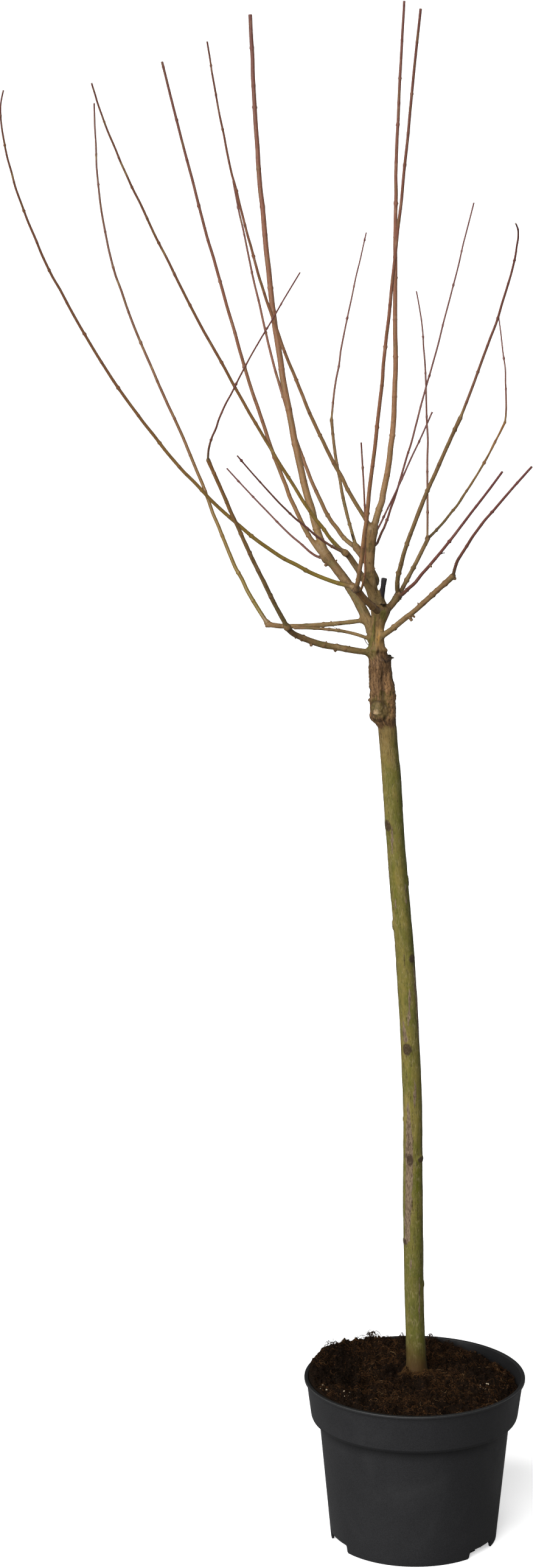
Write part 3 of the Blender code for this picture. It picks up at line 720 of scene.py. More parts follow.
# bark finishes
barkLooks = {
    "old": dict(  # yellow-brown wood of the older boughs, olive in places
        stops=((0.0, (0.140, 0.094, 0.036)), (0.5, (0.156, 0.098, 0.042)), (1.0, (0.140, 0.080, 0.036))),
        dark=(0.036, 0.021, 0.009), pale=(0.250, 0.182, 0.100), tint=(0.088, 0.076, 0.026), tinted=0.55,
        bud=(0.105, 0.046, 0.028), dots=(0.022, 0.012, 0.007), gloss=0.60, shine=0.10, fineness=900.0
    ),
    "mossy": dict(  # darkened with moss at its foot
        stops=((0.0, (0.060, 0.046, 0.015)), (0.30, (0.085, 0.062, 0.022)), (0.48, (0.165, 0.106, 0.044)),
               (1.0, (0.150, 0.086, 0.036))),
        dark=(0.026, 0.017, 0.007), pale=(0.250, 0.182, 0.100), tint=(0.060, 0.050, 0.015), tinted=0.55,
        bud=(0.105, 0.046, 0.028), dots=(0.022, 0.012, 0.007), gloss=0.60, shine=0.10, fineness=900.0
    ),
    "warm": dict(  # orange-brown boughs
        stops=((0.0, (0.125, 0.088, 0.034)), (0.7, (0.165, 0.092, 0.034)), (1.0, (0.185, 0.086, 0.028))),
        dark=(0.050, 0.024, 0.010), pale=(0.260, 0.160, 0.085), tint=(0.100, 0.080, 0.026), tinted=0.5,
        bud=(0.125, 0.046, 0.028), dots=(0.030, 0.015, 0.008), gloss=0.52, shine=0.15, fineness=1000.0
    ),
    "dead": dict(  # a blackened stub with a whitish cut end
        stops=((0.0, (0.120, 0.076, 0.032)), (0.34, (0.060, 0.042, 0.018)), (0.44, (0.013, 0.010, 0.011)),
               (1.0, (0.026, 0.023, 0.025))),
        dark=(0.0045, 0.0038, 0.0040), pale=(0.105, 0.100, 0.100), tint=(0.014, 0.011, 0.011), tinted=0.5,
        bud=(0.012, 0.012, 0.012), dots=(0.006, 0.005, 0.005), gloss=0.75, shine=0.10, fineness=1100.0,
        wood=((0.30, 0.29, 0.28), (0.020, 0.018, 0.018))
    ),
    "tan": dict(  # long rods: olive tan, then orange-brown, then dark crimson-brown
        stops=((0.0, (0.180, 0.116, 0.044)), (0.35, (0.190, 0.096, 0.042)), (0.7, (0.160, 0.064, 0.038)),
               (1.0, (0.100, 0.037, 0.030))),
        dark=(0.060, 0.028, 0.014), pale=(0.270, 0.170, 0.105), tint=(0.130, 0.090, 0.034), tinted=0.4,
        bud=(0.105, 0.036, 0.026), dots=(0.230, 0.160, 0.100), gloss=0.46, shine=0.16, fineness=1000.0
    ),
    "olive": dict(  # rods that start olive yellow
        stops=((0.0, (0.145, 0.108, 0.020)), (0.22, (0.160, 0.098, 0.020)), (0.5, (0.135, 0.056, 0.024)),
               (1.0, (0.090, 0.030, 0.024))),
        dark=(0.050, 0.028, 0.008), pale=(0.270, 0.200, 0.070), tint=(0.140, 0.085, 0.022), tinted=0.4,
        bud=(0.110, 0.036, 0.024), dots=(0.230, 0.160, 0.090), gloss=0.36, shine=0.30, fineness=1000.0
    ),
    "crimson": dict(  # thin glossy rods
        stops=((0.0, (0.130, 0.064, 0.032)), (0.3, (0.116, 0.044, 0.030)), (1.0, (0.092, 0.028, 0.025))),
        dark=(0.044, 0.016, 0.011), pale=(0.220, 0.120, 0.092), tint=(0.130, 0.060, 0.034), tinted=0.3,
        bud=(0.105, 0.030, 0.024), dots=(0.200, 0.120, 0.090), gloss=0.38, shine=0.22, fineness=1100.0
    ),
}


def makeBarkMaterial(name, look):
    material, tree, shader = newMaterial(name + "Bark", look["gloss"], look["shine"])
    place = addNode(tree, "Attribute", attribute_name="barkPlace").outputs["Vector"]
    grain = useGroup(tree, barkGrain, {"Place": place, "Fineness": look["fineness"]})
    colour = rampOf(tree, maskOf(tree, "way"), look["stops"])
    colour = mixOf(tree, spanOf(tree, grain["Mottle"], 0.46, 0.34, 0.0, look["tinted"]), colour, look["tint"])
    colour = mixOf(tree, maskOf(tree, "oldFoot"), colour, look.get("foot", barkLooks["old"]["stops"][1][1]))
    colour = mixOf(tree, spanOf(tree, grain["Mottle"], 0.54, 0.72, 0.0, 0.40), colour, look["pale"])
    colour = mixOf(tree, spanOf(tree, grain["Streak"], 0.48, 0.30, 0.0, 0.50), colour, look["dark"])
    colour = mixOf(tree, mathOf(tree, "MULTIPLY", grain["Web"], 0.30), colour, look["dark"])
    # painted shade in the creases
    colour = mixOf(tree, mathOf(tree, "MULTIPLY", maskOf(tree, "creaseShade"), 0.40), colour, look["dark"])
    colour = mixOf(tree, mathOf(tree, "MULTIPLY", grain["Speck"], 0.30), colour, look["dots"])
    colour = mixOf(tree, mathOf(tree, "MULTIPLY", maskOf(tree, "bud"), 0.75), colour, look["bud"])
    woods = look.get("wood", ((0.30, 0.22, 0.13), (0.10, 0.065, 0.04)))
    wood = mixOf(tree, spanOf(tree, grain["Mottle"], 0.42, 0.55), *woods)
    colour = mixOf(tree, maskOf(tree, "cutWood"), colour, wood)
    turned = addNode(tree, "LayerWeight", {"Blend": 0.35}).outputs["Facing"]  # painted shade: the outline is darkened where the surface turns away from view
    colour = mixOf(tree, spanOf(tree, turned, 0.25, 0.85, 0.0, 0.78), colour, look["dark"])
    tree.links.new(colour, shader.inputs["Base Color"])
    rough = spanOf(tree, grain["Mottle"], 0.35, 0.7, look["gloss"] - 0.05, look["gloss"] + 0.14)
    tree.links.new(rough, shader.inputs["Roughness"])
    height = mathOf(tree, "ADD", grain["Streak"], mathOf(tree, "MULTIPLY", grain["Speck"], 0.5))
    bumpInto(tree, shader, height, 0.00018, 0.5)
    return material


barkMaterials = {name: makeBarkMaterial(name, look) for name, look in barkLooks.items()}


# trunk
trunkColours = dict(
    olive=(0.092, 0.086, 0.017), yellow=(0.150, 0.118, 0.030), brown=(0.150, 0.100, 0.034), mossAndShade=(0.046, 0.054, 0.008),
    deep=(0.026, 0.024, 0.006), bright=(0.070, 0.072, 0.006),
    patch=(0.170, 0.126, 0.078), patchDark=(0.062, 0.040, 0.025), knot=(0.030, 0.018, 0.011), pale=(0.280, 0.225, 0.120),
    graft=(0.140, 0.078, 0.035), graftShade=(0.060, 0.032, 0.014), graftDark=(0.022, 0.012, 0.006),
    graftPale=(0.270, 0.170, 0.090), strap=(0.200, 0.108, 0.045), callus=(0.330, 0.230, 0.130),
    scion=(0.165, 0.104, 0.042), gold=(0.270, 0.150, 0.042), foot=(0.040, 0.022, 0.007),
)


def makeTrunkMaterial():
    look = trunkColours
    material, tree, shader = newMaterial("trunkBark", 0.6, 0.10)
    place = addNode(tree, "Attribute", attribute_name="barkPlace").outputs["Vector"]
    grain = useGroup(tree, barkGrain, {"Place": place, "Fineness": 620.0})
    fine = useGroup(tree, barkGrain, {"Place": place, "Fineness": 1500.0})
    lump = useGroup(tree, mouldGrain, {"Place": scaledPlace(tree, place, (1.0, 1.0, 0.45)), "Fineness": 950.0})
    colour = mixOf(tree, spanOf(tree, grain["Mottle"], 0.35, 0.68), look["olive"], look["yellow"])
    colour = mixOf(tree, maskOf(tree, "brown"), colour, look["brown"])
    # painted shade: this dark green covers the trunk's right side, and the trunk is made darker towards the foot; the
    # same colour also mottles the graft
    colour = mixOf(tree, maskOf(tree, "mossAndShade"), colour, look["mossAndShade"])
    colour = mixOf(tree, maskOf(tree, "bright"), colour, look["bright"])
    colour = mixOf(tree, spanOf(tree, grain["Streak"], 0.47, 0.28, 0.0, 0.55), colour, look["deep"])
    colour = mixOf(tree, mathOf(tree, "MULTIPLY", grain["Web"], 0.26), colour, look["pale"])
    colour = mixOf(tree, mathOf(tree, "MULTIPLY", fine["Web"], 0.34), colour, look["deep"])
    colour = mixOf(tree, spanOf(tree, fine["Streak"], 0.56, 0.72, 0.0, 0.30), colour, look["pale"])
    scion = mixOf(tree, maskOf(tree, "gold"), look["scion"], look["gold"])
    scion = mixOf(tree, spanOf(tree, grain["Mottle"], 0.42, 0.34, 0.0, 0.8), scion, look["olive"])
    scion = mixOf(tree, spanOf(tree, grain["Streak"], 0.48, 0.34, 0.0, 0.8), scion, look["graftShade"])
    scion = mixOf(tree, mathOf(tree, "MULTIPLY", grain["Web"], 0.4), scion, look["graftDark"])
    colour = mixOf(tree, maskOf(tree, "scion"), colour, scion)
    patch = mixOf(tree, spanOf(tree, fine["Streak"], 0.38, 0.60), look["patchDark"], look["patch"])
    colour = mixOf(tree, maskOf(tree, "patch"), colour, patch)
    rough = mixOf(tree, spanOf(tree, grain["Streak"], 0.38, 0.60), look["graftShade"], look["graft"])
    rough = mixOf(tree, mathOf(tree, "MULTIPLY", maskOf(tree, "strap"), 0.7), rough, look["strap"])
    rough = mixOf(tree, spanOf(tree, lump["Grain"], 0.46, 0.36, 0.0, 0.8), rough, look["graftDark"])
    rough = mixOf(tree, spanOf(tree, lump["Grain"], 0.60, 0.74, 0.0, 0.7), rough, look["graftPale"])
    rough = mixOf(tree, spanOf(tree, grain["Mottle"], 0.44, 0.34, 0.0, 0.4), rough, look["mossAndShade"])
    colour = mixOf(tree, maskOf(tree, "graft"), colour, rough)
    colour = mixOf(tree, maskOf(tree, "callus"), colour, look["callus"])
    colour = mixOf(tree, maskOf(tree, "foot"), colour, look["foot"])
    # painted shade in the creases
    colour = mixOf(tree, mathOf(tree, "MULTIPLY", maskOf(tree, "creaseShade"), 0.80), colour, look["graftDark"])
    knot = mixOf(tree, spanOf(tree, lump["Grain"], 0.50, 0.72, 0.0, 0.4), look["knot"], look["patch"])
    colour = mixOf(tree, maskOf(tree, "knot"), colour, knot)
    # painted shade: the outline is darkened where the surface turns away from view
    turned = addNode(tree, "LayerWeight", {"Blend": 0.35}).outputs["Facing"]
    colour = mixOf(tree, spanOf(tree, turned, 0.35, 0.9, 0.0, 0.6), colour, look["deep"])
    tree.links.new(colour, shader.inputs["Base Color"])
    tree.links.new(spanOf(tree, grain["Mottle"], 0.3, 0.7, 0.5, 0.75), shader.inputs["Roughness"])
    height = mathOf(tree, "SUBTRACT", mathOf(tree, "ADD", grain["Streak"], fine["Streak"]), grain["Web"])
    bumpInto(tree, shader, height, 0.0003, 0.6)
    return material


def greenStrips(turn, height):  # strips of bright algae beside the patches
    strips = np.zeros_like(turn)
    for z, tall, degrees, wide, share in trunk["algae"]:
        middle = -math.pi / 2 + math.radians(degrees)
        strips = np.maximum(strips, share * bell(turnGap(turn, middle), 0, wide) * bell(height, z, tall))
    return strips


def makeTrunk():
    low, high = trunk["stations"][0][0], trunk["stations"][-1][0]
    heights = np.arange(low, high, trunk["step"])
    middles, radii = trunkLine(heights)
    sides = trunk["sides"]
    turns = np.arange(sides) * fullTurn / sides
    height, turn = np.meshgrid(heights, turns, indexing="ij")
    radius = np.repeat(radii[:, None], sides, axis=1)
    circle = np.stack([np.cos(turn), np.sin(turn), height], axis=-1)
    straight = circle * (0.010, 0.010, 1.0)
    front = -math.pi / 2

    relief = 0.00035 * cloudNoise(circle * (1.1, 1.1, 22), 3) + 0.00020 * cloudNoise(circle * (2.6, 2.6, 70), 4)
    wrinkles = roughNoise(straight * (900, 900, 60), 6, 3)
    rings = cloudNoise(straight * (260, 260, 900), 7)
    relief += 0.00010 * wrinkles + 0.00004 * rings
    # painted shade in the creases: the lowest parts of the wrinkles are darkened, and below also the cracks, pits,
    # groove, cleft, seam and the ring round the knob
    creaseShade = ease(-0.55, -1.15, wrinkles + 0.3 * rings)

    knot = np.zeros_like(radius)
    for z, degrees, tall, wide, rise in trunk["knots"]:
        across = turnGap(turn, front + math.radians(degrees)) * radius
        spread = ((height - z) / (tall * mm)) ** 2 + (across / (wide * mm)) ** 2
        relief += rise * mm * (np.exp(-(spread**1.3)) - 0.45 * np.exp(-spread * 7))
        relief += 0.3 * mm * rise * np.exp(-(((spread - 1.2) / 0.5) ** 2))
        knot = np.maximum(knot, 0.9 * ease(1.15, 0.55, spread + 0.25 * cloudNoise(straight * (500, 500, 400), 9)))
    patch = np.zeros_like(radius)
    ragged = 0.0009 * roughNoise(straight * (500, 500, 130), 12, 2)
    for rows in trunk["patches"]:
        rows = np.array(rows)[::-1]
        middle = front + np.radians(np.interp(height, rows[:, 0], rows[:, 1]))
        half = np.interp(height, rows[:, 0], rows[:, 2], left=-3, right=-3) * mm
        patch = np.maximum(patch, ease(-0.0003, 0.0004, half + ragged - np.abs(turnGap(turn, middle)) * radius))
    relief += patch * (0.00018 + 0.00016 * roughNoise(straight * (1300, 1300, 140), 14, 2))

    around = lambda degrees, wide: turnGap(turn, front + math.radians(degrees)) * radius / wide
    ragged = cloudNoise(circle * (3.2, 3.2, 0), 17) + 0.6 * cloudNoise(circle * (11, 11, 0), 18)
    ledge = 0.9470 + 0.0016 * ragged
    graft = ease(0.873, 0.879, height + 0.003 * cloudNoise(circle * (1.7, 1.7, 0), 19)) * ease(0.960, 0.952, height)
    lumps = roughNoise(circle * (2.4, 2.4, 120), 21, 3)
    cracks = roughNoise(straight * (700, 700, 150), 25, 3)
    pits = roughNoise(straight * (1100, 1100, 700), 26, 2)
    relief += graft * (0.0006 * lumps + 0.0006 * cracks + 0.00030 * pits)
    creaseShade = np.maximum(creaseShade * (1 - graft), graft * ease(-0.35, -1.0, cracks + 0.5 * pits))
    # painted shade down the right side of the graft, where its lumps and cracks dip
    creaseShade = np.maximum(creaseShade, 0.55 * graft * ease(0.62, 0.98, np.cos(turn + 0.1)) * ease(-0.6, 0.4, lumps + cracks))

    callus = ((height - 0.8935) / 0.0078) ** 2 + around(-26, 0.0078) ** 2  # the healed knob at the lower left
    dome = np.exp(-(callus**1.5))
    relief += 0.0030 * dome + 0.0011 * dome * roughNoise(straight * (620, 620, 620), 28, 3)
    relief -= 0.0011 * bell(callus, 1.9, 0.55) + 0.0005 * bell(callus, 0.55, 0.14)
    creaseShade = np.maximum(creaseShade * (1 - 0.8 * dome), 0.9 * bell(callus, 1.9, 0.45) * (height < 0.905))
    peg = around(-84, 0.0016) ** 2 + ((height - 0.9030) / 0.0016) ** 2  # a black peg beside it
    relief += 0.0024 * np.exp(-peg)
    strap = ease(0.881, 0.888, height) * ease(0.938, 0.922, height) * ease(1.25, 0.75, np.abs(around(38, 0.0056)))
    relief += 0.0013 * strap  # a raised strap up its right side, with a groove beside it
    groove = bell(around(2, 0.0016), 0.6 * cloudNoise(straight * (0, 0, 150), 29), 1.0)
    groove = groove * ease(0.890, 0.902, height) * ease(0.946, 0.938, height)
    relief -= 0.0016 * groove
    creaseShade = np.maximum(creaseShade, 0.9 * groove)

    right = ease(0.05, 0.55, np.cos(turn + 0.10))
    edgeOut = -0.0292 - middles[:, :1] + 0.0003 * pits  # the rootstock's right side stands straight up to its broken top
    below = ease(0.928, 0.938, height) * (height < ledge)
    relief += right * below * (edgeOut - radius - relief)
    above = (height >= ledge) * ease(0.9570, 0.9520, height)
    relief += right * above * (0.0076 + 0.0003 * pits - radius - relief)
    relief += 0.0030 * bell(height, 0.9552, 0.0024) * bell(turnGap(turn, front + math.radians(64)), 0, 0.36)
    relief += 0.0011 * bell(height, 0.9560, 0.0020) * bell(turnGap(turn, front), 0, 1.5)
    relief += 0.0016 * np.exp(-(((height - 0.9880) / 0.0060) ** 2 + around(55, 0.0070) ** 2))  # burl under the fork
    cleft = bell(turnGap(turn, front + math.radians(-30)), 0, 0.13) * ease(0.960, 0.968, height) * ease(0.990, 0.982, height)
    relief -= 0.0010 * cleft
    seam = bell(around(8, 0.0011), 0, 1.0) * bell(height, 0.9555, 0.0036)  # the star-shaped pit above the graft
    relief -= 0.0012 * seam
    creaseShade = np.maximum(creaseShade, np.maximum(seam, 0.8 * cleft))

    ways = np.stack([np.cos(turn), np.sin(turn), 0 * turn], axis=-1)
    relief += fusedRise(middles[:, None, :] + radius[..., None] * ways, ways, radii, "trunk")
    grid = middles[:, None, :] + (radius + relief)[..., None] * ways

    # the right side, painted in shade in the mask below
    side = ease(0.15, 1.0, np.cos(turn - 0.15))
    burnt = right * bell(height, ledge - 0.0008, 0.0022) * ease(0.93, 0.94, height)
    masks = {
        "barkPlace": straight,
        "knot": np.maximum(knot, np.maximum(burnt, np.exp(-peg))),
        "patch": patch,
        "creaseShade": creaseShade,
        "graft": np.maximum(graft, 0.25 * ease(0.850, 0.870, height)) * ease(0.966, 0.958, height),
        "callus": 0.75 * ease(0.16, 0.0, callus + 0.12 * pits) + 0.15 * np.exp(-callus) * ease(-0.3, 0.6, pits),
        "scion": ease(0.949, 0.957, height),
        "strap": strap,
        "gold": bell(height, 0.9700, 0.0095) * bell(turnGap(turn, front + 0.25), 0, 0.75) * ease(-0.8, 0.2, cracks),
        "brown": 0.8 * ease(0.815, 0.855, height + 0.01 * cloudNoise(circle * (2, 2, 40), 33)),
        # painted shade down the trunk's right side, and darker towards the foot
        "mossAndShade": np.maximum(0.85 * side * ease(0.25, 0.70, height) * ease(0.89, 0.86, height), 0.5 * ease(0.50, 0.20, height)),
        "bright": greenStrips(turn, height),
        "foot": ease(0.225, 0.180, height + 0.006 * cloudNoise(circle * (2, 2, 90), 27)),
    }
    below = grid[:1] - (0, 0, trunk["sunk"])
    crown = [
        grid[-1:] * k + middles[-1] * (1 - k) + (0, 0, rise)
        for k, rise in ((0.95, 0.0012), (0.80, 0.0024), (0.55, 0.0032), (0.25, 0.0036))
    ]
    grid = np.concatenate([below, grid, *crown])
    stretch = lambda values: closedValues(np.concatenate([values[:1], values] + [values[-1:]] * 4))
    masks = {name: stretch(values) for name, values in masks.items()}
    addPiece(
        "trunk_bark", closedRings(grid), tubeFaces(len(grid), sides), makeTrunkMaterial(), ["trunk"], masks
    )


# dead snags, cut stubs and scars: on which limb, how far along, aim (its length included, mm), radius at foot and tip (mm)
snags = {
    "snags_dead": [
        ("back_riser", 0.036, (-3.4, -0.8, 9.0), 0.75, 0.55), ("centre_bough", 0.985, (-4.5, -1.5, 6.5), 0.95, 0.80),
        ("shoot_right_low", 0.587, (7.0, -1.5, 3.6), 0.75, 0.45), ("centre_bough", 0.30, (2.5, -4.2, 4.0), 0.55, 0.30),
        ("centre_bough", 0.24, (4.6, -2.6, 4.4), 0.70, 0.35), ("level_left_spur", 0.562, (-8.6, -0.6, 5.4), 0.35, 0.22),
        ("level_left_spur", 0.250, (5.2, -1.6, -8.8), 0.50, 0.35), ("left_bough", 0.18, (4.0, -4.0, 3.0), 0.5, 0.3),
    ],
    "snags_bark": [
        ("low_right_bough", 0.611, (2.6, -1.4, -4.6), 2.6, 1.5), ("low_right_bough", 0.636, (3.4, -1.2, -3.4), 2.2, 1.0),
        ("low_left_bough", 0.793, (1.4, -0.8, -4.8), 2.2, 0.5), ("low_left_bough", 0.690, (2.0, -0.8, -4.2), 2.0, 0.5),
        ("low_left_bough", 0.306, (0.9, -1.0, -4.4), 2.4, 0.9), ("low_left_bough", 0.370, (-1.0, -0.8, 4.5), 2.2, 0.6),
        ("low_left_bough", 0.524, (-1.0, -2.4, -3.2), 2.4, 1.5), ("level_left_bough", 0.970, (-3.2, -0.5, -1.8), 2.2, 1.3),
        ("level_left_bough", 0.250, (-0.6, -0.6, 3.1), 1.9, 0.6), ("left_bough", 0.955, (-4.0, -2.4, -4.4), 3.2, 1.7),
        ("low_right_bough", 0.985, (3.8, -1.0, -1.0), 2.6, 1.5), ("right_bough", 0.80, (3.8, -0.8, 1.0), 1.8, 0.5),
        ("right_bough", 0.97, (3.4, -1.0, -2.6), 1.8, 0.6), ("right_outer_bough", 0.992, (2.4, -0.6, 3.6), 1.6, 0.9),
        ("front_bough", 0.985, (-3.4, -1.6, 4.8), 2.8, 1.6), ("left_bough", 0.90, (3.8, -1.2, 4.8), 2.2, 0.8),
        ("centre_bough", 0.62, (5.0, -2.6, 2.0), 2.0, 0.6), ("centre_bough", 0.70, (-1.0, -5.6, 0.8), 1.6, 0.6),
        ("low_right_bough", 0.722, (-2.0, -0.8, 3.6), 1.8, 0.5), ("shoot_right_low", 0.522, (1.2, -1.8, -1.6), 1.5, 0.8),
        ("left_bough", 0.12, (-2.6, 5.0, 3.6), 2.4, 1.1), ("low_left_bough", 0.2, (1.6, 3.8, 2.4), 2.0, 0.7),
        ("low_right_bough", 0.35, (1.0, 3.6, 2.0), 1.8, 0.6),
    ],
    "snags_pale": [("level_left_spur", 0.455, (-46.0, -2.0, 27.0), 0.10, 0.06)],
}


def makeSnags(name, rows, material):
    rng = np.random.default_rng(71)
    sides, rings = 12, 12
    turns = np.arange(sides) * fullTurn / sides
    grids, way = [], np.linspace(0, 1, rings)
    for parent, at, aim, footGirth, tipGirth in rows:
        foot, aim = pointOn(parent, at), np.array(aim) * mm
        slack = rng.uniform(-0.10, 0.10, 3) * np.linalg.norm(aim)
        body = foot + way[:, None] * aim + np.sin(np.pi * way)[:, None] * slack
        heading, side, other = railFrames(body)
        radii = (footGirth + (tipGirth - footGirth) * way) * mm * (1 + 0.10 * rng.uniform(-1, 1, rings))
        end = np.array([0.97, 0.80, 0.45])
        reach = np.array([0.25, 0.55, 0.72])[:, None] * tipGirth * mm
        body = np.concatenate([body, body[-1:] + reach * heading[-1]])
        radii = np.concatenate([radii, radii[-1] * end])
        side, other = (np.concatenate([part, np.repeat(part[-1:], 3, axis=0)]) for part in (side, other))
        spokes = np.cos(turns)[None, :, None] * side[:, None] + np.sin(turns)[None, :, None] * other[:, None]
        rough = 1 + 0.10 * cloudNoise(spokes * 1.7 + rng.uniform(0, 20, 3), 72)
        grids.append(body[:, None] + radii[:, None, None] * rough[..., None] * spokes)
    points = np.concatenate([closedRings(grid) for grid in grids])
    faces = tubeFaces(rings + 3, sides)
    each = len(points) // len(grids)
    faces = [[corner + each * i for corner in face] for i in range(len(grids)) for face in faces]
    addPiece(name, points, faces, material)


def makePlainMaterial(name, dark, light, rough=0.7):
    material, tree, shader = newMaterial(name, rough, 0.12)
    grain = useGroup(tree, mouldGrain, {"Place": addNode(tree, "TexCoord").outputs["Object"], "Fineness": 900.0})
    tree.links.new(mixOf(tree, spanOf(tree, grain["Grain"], 0.36, 0.62), dark, light), shader.inputs["Base Color"])
    bumpInto(tree, shader, grain["Grain"], 0.0003, 0.6)
    return material


snagColours = {
    "snags_dead": ((0.008, 0.006, 0.005), (0.050, 0.036, 0.028)),
    "snags_bark": ((0.052, 0.030, 0.015), (0.170, 0.098, 0.048)),
    "snags_pale": ((0.380, 0.250, 0.150), (0.560, 0.440, 0.320)),
}

makeTrunk()
print("trunk done")
for snagName, rows in snags.items():
    makeSnags(snagName, rows, makePlainMaterial(snagName.replace("snags_", "snag"), *snagColours[snagName]))
for limbName in boughs:
    dressLimb(limbName, barkMaterials[boughs[limbName].get("wood", "old")])
for limbName in shoots:
    dressLimb(limbName, barkMaterials[shoots[limbName]["wood"]])
print("boughs and shoots done")


# pot
pot = dict(
    height=0.1775, rim=0.115, lipHeight=0.0034, overhang=0.0023, collarFoot=(0.1078, 0.1365), bodyTop=(0.0994, 0.1325),
    rounding=(0.0072, 0.0012), innerStep=(0.1337, 0.1377), base=0.0868, wall=0.0018, sides=360,
    ribs=24, notches=3, firstNotch=203, notchWidth=0.039, notchHeight=0.0085, floorHeight=0.0095,
)


def potWall(height):  # inner radius of the pot at a height
    heights = (0, *pot["innerStep"], pot["height"])
    outer = (pot["base"], pot["bodyTop"][0], pot["collarFoot"][0], pot["rim"] - pot["overhang"])
    return np.interp(height, heights, outer) - pot["wall"]


def roundedCorner(before, corner, after, size, count=5):  # a corner of a profile replaced by an arc
    before, corner, after = (np.array(point, float) for point in (before, corner, after))
    first, last = corner + unit(before - corner) * size, corner + unit(after - corner) * size
    t = np.linspace(0, 1, count)[:, None]
    return list((1 - t) ** 2 * first + 2 * t * (1 - t) * corner + t**2 * last)


def makePot(material):
    top, rim, lip, wall = pot["height"], pot["rim"], pot["lipHeight"], pot["wall"]
    body, foot, out = pot["bodyTop"], pot["collarFoot"], pot["rounding"]
    bulge = (body[0] + out[0], body[1] + out[1])
    underLip = (rim - pot["overhang"], top - lip)
    inside = lambda height: (float(potWall(height)), height)
    corners = [  # profile from the middle of the underside, out, up, over the rim and down inside
        (0.0, pot["floorHeight"]), (pot["base"] - 0.0055, pot["floorHeight"]), (pot["base"] - 0.0022, 0.004),
        (pot["base"] - 0.0018, 0.0), (pot["base"], 0.0), body, bulge, foot, underLip,
        (rim, top - lip + 0.0006), (rim, top), inside(top), inside(pot["innerStep"][1]), inside(pot["innerStep"][0]),
        inside(0.013), (0.0, 0.0115),
    ]
    sizes = [0, 0.001, 0.001, 0.0004, 0.0005, 0.0006, 0.0012, 0.0015, 0.0006, 0.0006, 0.0009, 0.0007, 0.002, 0.002, 0.002, 0]
    profile = [np.array(corners[0])]
    for i in range(1, len(corners) - 1):
        previous, following = np.array(profile[-1]), np.array(corners[i + 1])
        start = roundedCorner(corners[i - 1], corners[i], following, sizes[i])
        steps = max(1, int(np.linalg.norm(start[0] - previous) / 0.006))
        profile += [previous + (start[0] - previous) * k / steps for k in range(1, steps)]
        profile += start
    profile = np.array(profile + [np.array(corners[-1])])[1:-1]
    turns = np.linspace(0, fullTurn, pot["sides"], endpoint=False)
    spacing = fullTurn / pot["notches"]
    fromNotch = np.abs((turns - math.radians(pot["firstNotch"]) + spacing / 2) % spacing - spacing / 2) * pot["base"]
    lift = pot["notchHeight"] * ease(pot["notchWidth"] / 2 + 0.0006, pot["notchWidth"] / 2 - 0.0010, fromNotch)
    radius = np.repeat(profile[:, :1], len(turns), axis=1)
    height = np.repeat(profile[:, 1:], len(turns), axis=1)
    skirt = (height < lift[None, :]) & (radius > pot["base"] - 0.006)
    height = np.where(skirt, lift[None, :] + 0.15 * (height - lift[None, :]) * (lift[None, :] < 0.001), height)
    radius += 0.00025 * np.sin(2 * turns + 0.7) * ease(0.02, 0.17, height)
    grid = np.stack([radius * np.cos(turns), radius * np.sin(turns), height], axis=-1)
    points = closedRings(grid)
    points[-2:, 2] = pot["floorHeight"], 0.0115
    points[-2:, :2] = 0
    # the inner wall, for painted shade inside the pot
    deep = np.zeros_like(radius)
    deep[np.argmax(profile[:, 1]):] = 1.0
    masks = {"inside": closedValues(deep)}
    addPiece("pot_shell", points, tubeFaces(len(grid), len(turns)), material, ["pot"], masks, 48)


def makePotMaterial():
    material, tree, shader = newMaterial("anthracitePlastic", 0.46, 0.22)
    place = addNode(tree, "TexCoord").outputs["Object"]
    grain = useGroup(tree, mouldGrain, {"Place": place, "Fineness": 900.0})
    colour = mixOf(tree, spanOf(tree, grain["Grain"], 0.35, 0.65), (0.0085, 0.0085, 0.0091), (0.0135, 0.0135, 0.0145))
    colour = mixOf(tree, spanOf(tree, grain["Smudge"], 0.52, 0.78, 0.0, 0.35), colour, (0.019, 0.019, 0.020))
    high = addNode(tree, "SeparateXYZ", {"Vector": place}).outputs["Z"]
    # lighter along the top of the rim, broken up by the grain
    rimTop = mathOf(tree, "MULTIPLY", spanOf(tree, high, 0.1760, 0.1772), spanOf(tree, grain["Grain"], 0.4, 0.6, 0.2, 0.8))
    colour = mixOf(tree, rimTop, colour, (0.026, 0.027, 0.026))
    # painted shade: the body is darkened just under the collar
    underCollarShade = mathOf(tree, "MULTIPLY", spanOf(tree, high, 0.1180, 0.1325, 0.0, 0.6), spanOf(tree, high, 0.1375, 0.1365))
    colour = mixOf(tree, underCollarShade, colour, (0.0025, 0.0025, 0.0028))
    # painted shade inside the pot: the inner wall is darkened
    colour = mixOf(tree, mathOf(tree, "MULTIPLY", maskOf(tree, "inside"), 0.7), colour, (0.003, 0.003, 0.003))
    tree.links.new(colour, shader.inputs["Base Color"])
    tree.links.new(spanOf(tree, grain["Smudge"], 0.3, 0.7, 0.42, 0.58), shader.inputs["Roughness"])
    bumpInto(tree, shader, grain["Grain"], 0.00025, 0.5)
    return material


